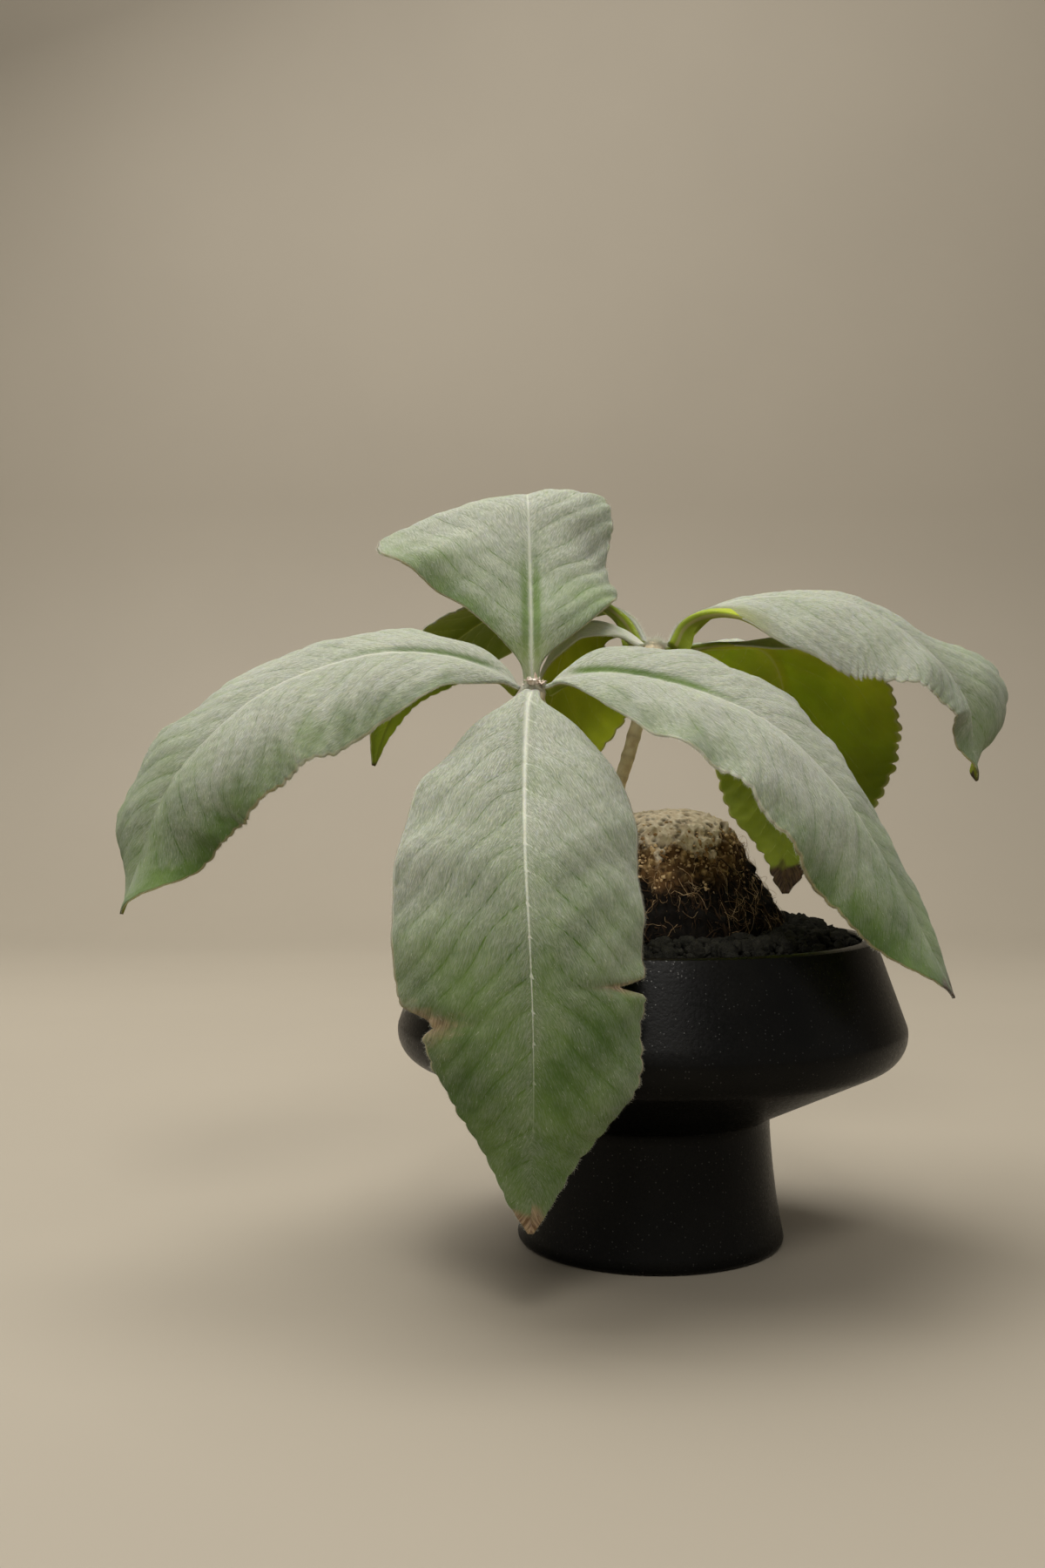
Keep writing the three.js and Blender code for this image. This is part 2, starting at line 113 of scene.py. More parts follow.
# A grid is bent to rows of points, and closed up where its columns meet.
def bentGrid(name, points, values=None, uv=None, closed=True):
    rows, columns = points.shape[:2]
    deselectAll()
    bpy.ops.mesh.primitive_grid_add(x_subdivisions=columns - 1, y_subdivisions=rows - 1, size=1)
    piece = bpy.context.active_object
    piece.name = name
    mesh = piece.data
    mesh.name = name
    flat = np.empty(len(mesh.vertices) * 3)
    mesh.vertices.foreach_get("co", flat)
    flat = flat.reshape(-1, 3)
    column = np.rint((flat[:, 0] + 0.5) * (columns - 1)).astype(int)
    row = np.rint((flat[:, 1] + 0.5) * (rows - 1)).astype(int)
    mesh.vertices.foreach_set("co", points[row, column].ravel())
    for key, value in (values or {}).items():
        layer = mesh.attributes.new(key, "FLOAT", "POINT")
        layer.data.foreach_set("value", value[row, column].astype(np.float32))
    if uv is not None:
        corner = np.empty(len(mesh.loops), int)
        mesh.loops.foreach_get("vertex_index", corner)
        mesh.uv_layers.active.name = "surfaceMap"
        spread = uv[row[corner], column[corner]].astype(np.float32)
        mesh.uv_layers.active.data.foreach_set("uv", spread.ravel())
    mesh.update()
    bpy.ops.object.mode_set(mode="EDIT")
    bpy.ops.mesh.select_all(action="SELECT")
    if closed:
        closeUp()
    bpy.ops.mesh.faces_shade_smooth()
    bpy.ops.object.mode_set(mode="OBJECT")
    return piece


# Many small closed spikes in one mesh. A straight one has four faces, and one with a bend ten.
def spikeMesh(name, roots, headings, lengths, radii, bends=None):
    count = len(roots)
    side = unit(np.cross(headings, [0.31, 0.22, 0.92]))
    other = np.cross(headings, side)
    levels = [(0, 1)] if bends is None else [(0, 1), (0.55, 0.75)]
    if bends is None:
        bends = 0 * headings
    corners = []
    for along, swell in levels:
        middle = roots + (headings * along + bends * along**2) * lengths[:, None]
        for turn in (0, 2.09, 4.19):
            ring = side * math.cos(turn) + other * math.sin(turn)
            corners.append(middle + ring * (radii * swell)[:, None])
    corners.append(roots + (headings + bends) * lengths[:, None])
    points = np.stack(corners, 1).reshape(-1, 3)
    last = len(corners) - 4
    shape = [(0, 2, 1)]
    for a in range(3):
        b = (a + 1) % 3
        if last:
            shape += [(a, b, 3 + b), (a, 3 + b, 3 + a)]
        shape.append((last + a, last + b, last + 3))
    faces = np.array(shape)[None] + len(corners) * np.arange(count)[:, None, None]
    return meshPiece(name, points, faces.reshape(-1, 3).tolist())


def hand(piece, finish, slot, *nodes):
    piece.data.materials.append(finish)
    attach(piece, "root")
    if nodes:
        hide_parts(*nodes)


# Tools for the finishes


def newFinish(name, settings):
    material = bpy.data.materials.new(name)
    material.use_nodes = True
    tree = material.node_tree
    shader = tree.nodes["Principled BSDF"]
    for key, value in settings.items():
        shader.inputs[key].default_value = value
    return material, tree, shader


# An output is linked to the socket, and a plain value is set there.
def join(tree, value, socket):
    if isinstance(value, bpy.types.NodeSocket):
        tree.links.new(value, socket)
    else:
        socket.default_value = value


# A new node. The settings are for its inputs and for its own properties.
def put(tree, kind, **settings):
    item = tree.nodes.new(kind)
    for key, value in settings.items():
        if key in item.inputs:
            join(tree, value, item.inputs[key])
        else:
            setattr(item, key, value)
    return item


def calc(tree, operation, a, b=0.0, clamp=False):
    item = put(tree, "ShaderNodeMath", operation=operation, use_clamp=clamp)
    join(tree, a, item.inputs[0])
    join(tree, b, item.inputs[1])
    return item.outputs[0]


def times(tree, a, b):
    return calc(tree, "MULTIPLY", a, b)


def blendColour(tree, share, first, second):
    item = put(tree, "ShaderNodeMix", data_type="RGBA")
    join(tree, share, item.inputs[0])
    for value, socket in ((first, item.inputs[6]), (second, item.inputs[7])):
        join(tree, (*value, 1) if isinstance(value, tuple) else value, socket)
    return item.outputs[2]


def span(tree, value, low, high, newLow=0.0, newHigh=1.0):
    item = put(tree, "ShaderNodeMapRange", interpolation_type="SMOOTHSTEP")
    join(tree, value, item.inputs[0])
    for index, number in enumerate((low, high, newLow, newHigh)):
        item.inputs[index + 1].default_value = number
    return item.outputs[0]


def attribute(tree, name):
    return put(tree, "ShaderNodeAttribute", attribute_name=name).outputs["Fac"]


def objectPlace(tree):
    return put(tree, "ShaderNodeTexCoord").outputs["Object"]


def objectHeight(tree):
    return put(tree, "ShaderNodeSeparateXYZ", Vector=objectPlace(tree)).outputs[2]


def bump(tree, shader, height, strength, distance):
    item = put(tree, "ShaderNodeBump", Strength=strength, Distance=distance, Height=height)
    join(tree, item.outputs[0], shader.inputs["Normal"])


# Inputs come with their defaults. Every group also takes a vector, called Map.
def newGroup(name, inputs, outputs):
    tree = bpy.data.node_groups.new(name, "ShaderNodeTree")
    tree.interface.new_socket(name="Map", in_out="INPUT", socket_type="NodeSocketVector")
    for label, value in inputs.items():
        socket = tree.interface.new_socket(name=label, in_out="INPUT", socket_type="NodeSocketFloat")
        socket.default_value = value
    for label in outputs:
        tree.interface.new_socket(name=label, in_out="OUTPUT", socket_type="NodeSocketFloat")
    return tree, tree.nodes.new("NodeGroupInput"), tree.nodes.new("NodeGroupOutput")


def useGroup(tree, group, **settings):
    return put(tree, "ShaderNodeGroup", node_tree=group, **settings).outputs


# Fine lying hairs: two layers of long thin streaks that cross at a small angle.
def makeNapGroup():
    tree, start, end = newGroup("lyingNap", {"Along": 2.0, "Across": 30.0}, ["Fibres"])
    flat, along, across = start.outputs[:3]
    scale = put(tree, "ShaderNodeCombineXYZ", X=along, Y=across).outputs[0]
    layers = []
    for turn, shift in ((-0.2, 0.0), (0.1, 7.3)):
        turned = put(tree, "ShaderNodeVectorRotate", rotation_type="Z_AXIS", Angle=turn, Vector=flat)
        stretched = put(tree, "ShaderNodeVectorMath", operation="MULTIPLY_ADD")
        for value, socket in zip((turned.outputs[0], scale, (shift, shift, 0)), stretched.inputs):
            join(tree, value, socket)
        grain = put(tree, "ShaderNodeTexNoise", Vector=stretched.outputs[0], Scale=1.0, Detail=3.0,
                    Roughness=0.65, Distortion=0.35)
        layers.append(span(tree, grain.outputs[0], 0.38, 0.7))
    join(tree, calc(tree, "MAXIMUM", *layers), end.inputs[0])
    return tree


# Soft patches, from a noise at a given scale.
def makeMottleGroup():
    tree, start, end = newGroup("softMottle", {"Scale": 40.0}, ["Patches"])
    place, scale = start.outputs[:2]
    noise = put(tree, "ShaderNodeTexNoise", Vector=place, Scale=scale, Detail=4.0, Roughness=0.55)
    join(tree, span(tree, noise.outputs[0], 0.3, 0.7), end.inputs[0])
    return tree


napGroup = makeNapGroup()
mottleGroup = makeMottleGroup()


def mottle(tree, scale):
    return useGroup(tree, mottleGroup, Map=objectPlace(tree), Scale=scale)[0]


# The stage

stage = {
    "camera": (-0.038, -0.468, 0.135),
    "lens": 36,
    "frontEdge": -8,
    "floorBreak": -2.5,
    "halfWidth": 7,
    "wallDistance": 1.3,
    "wallBend": 0.45,
    "wallHeight": 3.2,
    "floorColour": (0.3, 0.265, 0.208),
    "skyColour": (1.0, 0.96, 0.9),
    "skyStrength": 0.36,
    "lamps": {
        "key": {"place": (-0.4, 0.22, 1.25), "aim": (0, 0, 0.12), "size": 1.2, "power": 20.5},
        "front": {"place": (0.0, -0.85, 0.88), "aim": (0, 0, 0.1), "size": 0.3, "power": 4.6},
        "wall": {"place": (0, 0.45, 1.7), "aim": (0, 1.3, 0.4), "size": 0.9, "power": 11},
    },
    "lampColour": (1.0, 0.97, 0.92),
}


def areaLight(name, lamp):
    light = bpy.data.lights.new(name, "AREA")
    light.size = lamp["size"]
    light.energy = lamp["power"]
    light.color = stage["lampColour"]
    holder = newPiece(name, light)
    holder.location = lamp["place"]
    aim = Vector(lamp["aim"]) - Vector(lamp["place"])
    holder.rotation_euler = aim.to_track_quat("-Z", "Y").to_euler()


def buildStage():
    camera = bpy.data.cameras.new("camera")
    camera.lens = stage["lens"]
    camera.sensor_width = 36
    camera.clip_start = 0.01
    holder = newPiece("camera", camera)
    holder.location = stage["camera"]
    holder.rotation_euler = (math.radians(90), 0, 0)
    bpy.context.scene.camera = holder

    # The floor runs on behind the camera, and bends up into the wall at its far end.
    bend, far, half = stage["wallBend"], stage["wallDistance"], stage["halfWidth"]
    profile = [(stage["frontEdge"], 0.0), (stage["floorBreak"], 0.0), (far - bend, 0.0)]
    for step in range(1, 13):
        turn = math.radians(90 * step / 12)
        profile.append((far - bend + bend * math.sin(turn), bend - bend * math.cos(turn)))
    profile.append((far, stage["wallHeight"]))
    rows = np.array([[(x, y, z) for x in (-half, half)] for y, z in profile])
    floor = bentGrid("floor", rows, closed=False)
    material, tree, shader = newFinish("paleFloor", {"Roughness": 0.7})
    base = stage["floorColour"]
    darker = tuple(part * 0.96 for part in base)
    join(tree, blendColour(tree, mottle(tree, 3.0), base, darker), shader.inputs["Base Color"])
    floor.data.materials.append(material)

    for name, lamp in stage["lamps"].items():
        areaLight(name, lamp)
    world = bpy.data.worlds.new("softRoom")
    world.use_nodes = True
    sky = world.node_tree.nodes["Background"]
    sky.inputs[0].default_value = (*stage["skyColour"], 1)
    sky.inputs[1].default_value = stage["skyStrength"]
    bpy.context.scene.world = world
    bpy.context.scene.view_settings.view_transform = "Standard"


buildStage()
print("stage done")


# The leaves

# A station gives the midrib's point x, y, z, then for the left and the right half its width and
# how many degrees it rises. Left and right are seen from the whorl, looking outwards. Millimetres.
leafShapes = {
    "leaf_front": {
        "heading": -90,
        "phase": 0.3,
        "stations": [
            [-35.5, -29, 161, 2.5, 0, 2.5, 0],
            [-36.4, -34.5, 158, 4.5, -5, 5.5, -5],
            [-36.9, -41, 152.6, 13.5, -6, 12.5, -5],
            [-37.2, -48, 146, 19.8, -8, 19.2, -5],
            [-37.5, -60, 134.5, 27.6, -8, 28, -4],
            [-37.3, -77, 117, 31, -20, 34, -12],
            [-36.3, -87, 98, 31, -22, 35, -14],
            [-35.5, -91, 78, 29, -22, 32, -12],
            [-35.3, -91, 58, 25, -18, 21, -15],
            [-35.7, -88, 41, 10.5, -20, 10.5, -20],
            [-36, -84, 25, 0.8, 0, 0.8, 0],
        ],
        "notches": [(True, 0.668, 7.2, 0.021), (True, 0.71, 2.6, 0.03), (False, 0.621, 7, 0.009)],
        "driedTip": 0.968,
        "downEnds": (0.2, 0.78),
        "feather": (1.0, 0.15),
        "ribTone": 0.75,
        "toothStart": 0.6,
    },
    "leaf_left": {
        "heading": 180,
        "phase": 1.2,
        "stations": [
            [-39, -25, 162, 2.5, 0, 2.5, 0],
            [-45, -26, 166, 6, -25, 6, 35],
            [-62, -28, 171, 21, -32, 18, 22],
            [-83, -29, 170.5, 31, -46, 29, 17],
            [-110, -30, 160.5, 34, -47, 33, 18],
            [-130, -31, 143, 31, -53, 30, 28],
            [-139, -32, 129, 26, -62, 25, 34],
            [-144, -33, 114, 17, -62, 15.5, 34],
            [-149, -34, 99, 0.8, 0, 0.8, 0],
        ],
        "driedTip": 0.985,
        "downEnds": (0.42, 1.05),
        "crease": (0.1, 0.9),
        "shadedMargin": (0.45, 0.1),
        "ribTone": 0.5,
    },
    "leaf_right": {
        "heading": -15,
        "phase": 2.2,
        "stations": [
            [-31, -25.5, 162.3, 2.5, 0, 2.5, 0],
            [-25.5, -28, 164.7, 5, 40, 5, -20],
            [-11, -31, 165.5, 20, 26, 22, -26],
            [9, -35, 161, 30, 20, 31, -27],
            [30, -40, 151, 32, 13, 34, -27],
            [47, -44, 134, 29, 5, 34, -28],
            [60, -47, 113, 23, 2, 28, -36],
            [70, -49, 93, 15.5, 5, 16, -32],
            [77, -50, 78, 0.8, 0, 0.8, 0],
        ],
        "driedTip": 0.97,
        "downEnds": (0.48, 0.9),
        "crease": (1.35, 0.1),
        "shadedMargin": (0.0, 0.3),
        "ribTone": 0.55,
    },
    "leaf_back": {
        "heading": 90,
        "phase": 0.9,
        "stations": [
            [-35.2, -21, 162.6, 2.5, 0, 2.5, 0],
            [-35.5, -17.5, 171, 4, 0, 4, 0],
            [-35.5, -10, 183, 15, 0, 18, 0],
            [-35.8, 0, 196.5, 32, 0, 28, -20],
            [-36, 9, 209.5, 46, -7, 26.5, -27],
            [-36.3, 18, 221.5, 47.5, -17, 27.5, -17],
            [-36.5, 30, 226.5, 44, -25, 24.5, -5],
            [-36, 47, 222, 38, -18, 24, -5],
            [-35, 63, 211, 30, -10, 22, -10],
            [-34, 76, 198, 16, 0, 15, 0],
            [-33, 84, 188, 0.8, 0, 0.8, 0],
        ],
        "downEnds": (0.6, 1.3),
        "crease": (0.6, 0.8),
        "greenBase": 0.5,
        "shadedMargin": (0.4, 0.1),
        "pleats": (0.9, 3.2),
        "ribTone": 0.42,
        "toothDepth": 0.7,
        "bare": 0.4,
    },
    "leaf_rear_right": {
        "heading": 5,
        "phase": 2.8,
        "stations": [
            [6.4, 8.4, 177.5, 2.8, 0, 2.8, 0],
            [11.5, 10, 184.6, 4.2, -10, 4.2, 0],
            [27, 14, 191, 20, -8, 20, -34],
            [47, 18, 193, 30, -1, 30, -46],
            [69, 22, 190, 34, 7, 32, -48],
            [89, 25, 177, 31, 17, 28, -34],
            [101.5, 26, 160, 27.5, 50, 21, -32],
            [103.5, 25, 146, 17, 26, 11, -40],
            [104.5, 24, 136, 0.8, 0, 0.8, 0],
        ],
        "driedTip": 0.985,
        "petiole": (7.0, 4.6, 0.2),
        "greenStalk": True,
        "toothDepth": 2.2,
    },
    "leaf_rear_hanging": {
        "heading": 50,
        "phase": 0,
        "stations": [
            [3.9, 12.2, 176.4, 2.6, 0, 2.6, 0],
            [11, 17.5, 177, 3.8, 0, 3.8, 0],
            [27, 31, 179, 16, -4, 16, -5],
            [42, 46, 179, 28, 0, 30, -8],
            [50, 58, 167, 32, 4, 36, 4],
            [51, 62, 147, 30, 0, 36, 20],
            [51, 61, 128, 22, 2, 29, 18],
            [50.5, 58, 112, 8.4, 8, 11, 12],
            [50, 56, 102.5, 3.8, 4, 3.8, 4],
            [49.6, 55, 98.5, 1.2, 0, 1.4, 0],
        ],
        "driedTip": 0.93,
        "petiole": (5.4, 3.4, 0.15),
        "greenStalk": True,
        "underShade": (0.0, 0.65),
        "toothDepth": 2.5,
        "paintedLight": 0.5,
    },
    "leaf_rear_left": {
        "heading": 145,
        "phase": 1.7,
        "stations": [
            [-0.4, 11.2, 178, 2.8, 0, 2.8, 0],
            [-5.5, 19, 186.6, 4.2, 10, 4.2, 0],
            [-18, 30, 192.5, 17, 15, 15, -10],
            [-35, 42, 195, 20, 5, 26, -10],
            [-51, 50, 189.5, 19, -5, 28, -10],
            [-66, 51, 178, 18, -5, 20, -5],
            [-78, 50, 164, 13, 0, 9, 0],
            [-84, 49, 152, 6.5, 0, 4, 0],
            [-87, 48, 141, 0.8, 0, 0.8, 0],
        ],
        "petiole": (7.0, 4.6, 0.2),
        "greenStalk": True,
        "underShade": (0.85, 0.5),
    },
    "leaf_rear_middle": {
        "heading": 150,
        "phase": 2.4,
        "stations": [
            [-2, 5.6, 176.8, 2.6, 0, 2.6, 0],
            [-8, 7.5, 182, 5, -30, 5, -25],
            [-18, 12, 184.5, 13, -32, 13, -45],
            [-26, 17, 176.5, 17, -26, 22, -50],
            [-30, 21, 160, 19, -8, 27, -38],
            [-34, 22, 141, 17, 10, 16, -25],
            [-42, 19, 123, 9, 0, 9, 0],
            [-46, 16, 107, 0.8, 0, 0.8, 0],
        ],
        "paintedLight": 0.85,
    },
}

# What holds where a leaf doesn't say otherwise. Pairs give the left half's value and the right one's,
# but for downEnds and the underside's painted shade, which run from the stalk to the tip.
leafDefaults = {
    "notches": [],
    "driedTip": 0.99,
    "downEnds": (0.5, 1.1),
    "petiole": (3.2, 1.9, 0.12),
    "toothDepth": 1.25,
    "toothStart": 0.36,
    "crease": (0.25, 0.25),
    "pleats": (1, 1),
    "greenBase": 0,
    "shadedMargin": (0, 0),
    "underShade": (0.15, 0.35),
    "greenStalk": False,
    "paintedLight": 0,
    "bare": 0,
    "ribTone": 0.3,
    "feather": (0.35, 0.35),
}

leafBuild = {
    "rows": 216,
    "lanes": 28,
    "rib": 1.6,
    "blade": 0.8,
    "upperSkin": 0.35,
    "crown": 0.1,
    "toothPitch": 4.2,
    "toothPeak": 0.62,
    "waveLength": 24,
    "waveHeight": 0.9,
    "fullWidth": 30,
    "veinPitch": 9.0,
    "veinLean": 0.95,
    "veinBend": 0.004,
    "veinDepth": 0.2,
    "pillow": 0.34,
    "quilt": 0.5,
}


# Where each half's points lie: shares run along the midrib, reaches from it to the margin.
def leafHalf(shape, shares, reaches, onRight):
    b = leafBuild
    stations = np.array(shape["stations"], float)
    course = stations[:, :3]
    knots = np.linspace(0, len(stations) - 1, 3001)
    steps = np.linalg.norm(np.diff(splinePoint(course, knots), axis=0), axis=1)
    run = np.concatenate([[0], np.cumsum(steps)])
    length = run[-1]
    knot = np.interp(shares * length, run, knots)
    origin = splinePoint(course, knot)
    forward = unit(splinePoint(course, knot + 1e-3) - splinePoint(course, knot - 1e-3))
    heading = math.radians(shape["heading"])
    level = np.array([-math.sin(heading), math.cos(heading), 0])
    leftward = unit(level - forward * (forward @ level)[:, None])
    upward = np.cross(forward, leftward)
    widths = splinePoint(stations[:, 5:7] if onRight else stations[:, 3:5], knot)
    rise = np.radians(widths[:, 1])[:, None]
    side = -1 if onRight else 1
    outward = side * leftward * np.cos(rise) + upward * np.sin(rise)
    facing = upward * np.cos(rise) - side * leftward * np.sin(rise)

    share, reach = shares[:, None], reaches[None]
    along = share * length
    width = np.maximum(widths[:, 0], 0.5)[:, None]
    notches = [notch[1:] for notch in shape["notches"] if notch[0] == onRight]
    for at, depth, spread in notches:
        width = width - depth * np.exp(-(((share - at) / spread) ** 2))
    fullness = np.minimum(width / b["fullWidth"], 1)
    seed = int(shape["phase"] * 10) + (50 if onRight else 0)
    begin = shape["toothStart"]
    toothed = smooth(begin - 0.05, begin + 0.06, share) * smooth(1, 0.96, share)
    stretch = along + 0.5 * ripple(seed, 30, along)
    turn = (stretch / b["toothPitch"]) % 1
    peak = b["toothPeak"]
    rising, falling = turn / peak, (turn - peak) / (1 - peak)
    lobe = np.where(turn < peak, np.sin(rising * math.pi / 2), np.cos(falling * math.pi / 2))
    size = 0.75 + 0.35 * ripple(seed + 1, 17, along)
    jag = shape["toothDepth"] * size * np.sqrt(np.clip(lobe, 0, 1)) * toothed
    away = reach * width + jag * reach**7 * np.minimum(width / 6, 1)
    bulge = b["crown"] * 4 * reach * (1 - reach) * width
    turns = along / b["waveLength"] + (0.5 if onRight else 0)
    wave = b["waveHeight"] * fullness * reach**3 * np.sin(2 * math.pi * turns + shape["phase"] * 2)

    # The side veins leave the midrib at even steps, run outwards and bend on towards the tip.
    source = along - b["veinLean"] * away - b["veinBend"] * away**2
    vein = source / b["veinPitch"] + 0.2 * ripple(seed + 2, 28, along, away) + shape["phase"]
    near = np.abs(vein - np.rint(vein)) * b["veinPitch"] * 0.75
    body = smooth(0.03, 0.16, share) * smooth(1.0, 0.9, share) * fullness
    shown = np.clip(0.55 + 0.75 * ripple(seed + 7, 22, along, away), 0.05, 1.2)
    groove = np.exp(-((near / 0.6) ** 2)) * smooth(1.0, 0.8, reach) * body * shown
    lift = (0.5 - 0.5 * np.cos(2 * math.pi * vein)) * smooth(0, 0.3, reach)
    pleat = shape["pleats"][onRight]
    relief = b["pillow"] * lift * body * (0.6 + (pleat - 0.6) * reach**2) - b["veinDepth"] * groove
    relief = relief + b["quilt"] * body * smooth(0, 0.4, reach) * ripple(seed + 3, 21, along, away)
    relief = relief + 0.09 * body * ripple(seed + 8, 4.5, along, away)
    fold = shape["crease"][onRight] * np.exp(-(((away - 1.7) / 1.2) ** 2))
    fold = fold * (smooth(0.03, 0.09, share) * smooth(0.42, 0.2, share))
    relief = relief - 0.12 * np.exp(-((away / 1.3) ** 2)) * body - 0.5 * fold

    dry = share + 0.012 * ripple(seed + 11, 7, along, away)
    dried = smooth(shape["driedTip"] - 0.01, shape["driedTip"] + 0.01, dry)
    for at, depth, spread in notches:
        if depth > 5:
            gap = ((share - at) / (spread * 1.35)) ** 2 + ((width - away) / (depth * 0.8)) ** 2
            gap = gap * (1 + 0.5 * ripple(seed + 12, 3, along, away))
            dried = np.maximum(dried, 0.85 * np.exp(-gap**1.3))
    relief = relief + 0.6 * dried * ripple(seed + 4, 3.2, along, away) * fullness

    points = origin[:, None] + outward[:, None] * away[..., None]
    points = points + facing[:, None] * (bulge + wave + relief)[..., None]
    first, last = shape["downEnds"]
    down = 1 - 0.85 * smooth(first, last, share) + 0.09 * (lift - 0.5) * body - 0.12 * groove
    down = down - shape["greenBase"] * smooth(0.42, 0.14, share) - 1.1 * fold
    # Painted shade: towards a margin that droops away from the light the down is thinned, so it shows
    # darker green.
    marginShade = smooth(0.5, 0.98, reach + 0.12 * ripple(seed + 9, 12, along))
    down = down - shape["shadedMargin"][onRight] * marginShade * smooth(0.02, 0.15, share)
    down = down + 0.12 * ripple(seed + 5, 34, along, away) + 0.05 * ripple(seed + 6, 9, along, away)
    stalk, stalkEdge, stalkEnd = shape["petiole"]
    thick = 1 - smooth(0, stalkEnd, share)
    rib = b["blade"] + (b["rib"] - b["blade"]) * (1 - smooth(0.3, 1, share))
    middle = rib + (stalk - rib) * thick
    edge = b["blade"] + (stalkEdge - b["blade"]) * thick
    ribHalf = 1.3 + 1.5 * smooth(0.6, 0, share)
    ridge = np.exp(-((away / ribHalf) ** 2))
    bare = shape["bare"] * smooth(0.16, 0.04, share)
    if shape["greenStalk"]:
        bare = 0.9 * smooth(0.27, 0.15, share) * smooth(0.3, 0.7, reach)
    # How much painted shade darkens the underside, at the stalk and at the tip.
    shadeFirst, shadeLast = shape["underShade"]
    values = {
        "down": np.clip(down, 0, 1),
        "dried": np.clip(dried, 0, 1),
        "share": share,
        "bare": bare,
        # Painted light: how far a shaded leaf's silver is lifted towards the midrib's pale colour.
        "paintedLight": shape["paintedLight"],
        "underShade": shadeFirst + (shadeLast - shadeFirst) * smooth(0.4, 0.8, share),
        "ribTone": shape["ribTone"],
        "feather": shape["feather"][onRight],
        "paleHusk": float(len(shape["notches"]) > 0),
        "reach": reach,
        "depth": edge + (middle - edge) * np.maximum(ridge, thick * (1 - reach**2)) + 0.2 * groove,
        "edge": edge,
        "margin": width - reach * width,
        "u": away,
        "v": vein * b["veinPitch"],
    }
    # Each value is spread over the whole half.
    values = {key: value + 0 * away for key, value in values.items()}
    return {"points": points, "length": length, **values}


# Both halves side by side, from the left margin to the right one.
def leafSheet(shape, shares, reaches):
    left = leafHalf(shape, shares, reaches, False)
    right = leafHalf(shape, shares, reaches, True)
    sheet = {"length": left.pop("length")}
    for key in left:
        # The two halves meet on the midrib, where the left one's value is kept.
        sheet[key] = np.concatenate([left[key][:, ::-1], right[key][:, 1:]], axis=1)
    across, ahead = np.gradient(sheet["points"], axis=1), np.gradient(sheet["points"], axis=0)
    sheet["normal"] = unit(np.cross(across, ahead))
    return sheet


# What the finishes read off a leaf's mesh.
leafMarks = (
    "down", "dried", "reach", "share", "bare", "ribTone", "feather", "paleHusk", "underShade", "paintedLight",
)


def buildLeaf(name, shape):
    b = leafBuild
    shares = np.linspace(0, 1, b["rows"] + 1)
    even = np.linspace(0, 1, b["lanes"] + 1)
    reaches = 0.6 * even + 0.4 * (0.5 - 0.5 * np.cos(math.pi * even))
    sheet = leafSheet(shape, shares, reaches)
    half = sheet["edge"] / 2
    inset = np.clip(sheet["margin"] / half, 0, 1)
    rounding = np.sqrt(1 - (1 - inset) ** 2)
    centre = b["upperSkin"] - half
    up = centre + half * rounding
    low = centre + (b["upperSkin"] - sheet["depth"] - centre) * rounding
    above = sheet["points"] + sheet["normal"] * up[..., None]
    under = sheet["points"] + sheet["normal"] * low[..., None]
    around = np.concatenate([above, under[:, -2:0:-1], above[:, :1]], axis=1) * mm

    # A value on the upper face goes round to the lower one, which may have its own.
    def wrap(values, below=None):
        back = values if below is None else below
        return np.concatenate([values, back[:, -2:0:-1], values[:, :1]], axis=1)

    values = {key: wrap(sheet[key]) for key in leafMarks}
    felted = 0 * rounding + 1
    if shape["greenStalk"]:
        felted = felted * ((sheet["share"] > 0.15) | (sheet["reach"] < 0.6))
    side = wrap(felted, 0 * rounding)
    side[:, [0, -1, 2 * b["lanes"]]] = 0.4
    values["side"] = side
    uv = np.stack([wrap(sheet["u"]), wrap(sheet["v"])], axis=2) / 10
    leaf = bentGrid(name + "_felted", around, values, uv)
    hand(leaf, leafFinish, "leaf_felt", name)
    leaf.data.materials.append(undersideFinish)
    mesh = leaf.data
    # A face takes the underside's finish where the mean of its corners' sides is low.
    level = np.empty(len(mesh.vertices), np.float32)
    mesh.attributes["side"].data.foreach_get("value", level)
    corner = np.empty(len(mesh.loops), int)
    mesh.loops.foreach_get("vertex_index", corner)
    start = np.empty(len(mesh.polygons), int)
    mesh.polygons.foreach_get("loop_start", start)
    corners = np.diff(np.append(start, len(corner)))
    lower = np.add.reduceat(level[corner], start) / corners < 0.45
    mesh.polygons.foreach_set("material_index", lower.astype(np.int32))
    mesh.attributes.remove(mesh.attributes["side"])
    return sheet


# The down that stands clear of the felt: on the margins, beside the midrib and over the upper face.
fringe = {
    "marginGap": 0.12,
    "marginLength": (0.35, 1.05),
    "ribGap": 0.5,
    "ribLength": (0.6, 1.6),
    "faceHairs": 2600,
    "faceLength": (0.6, 1.5),
    "radius": 0.03,
}


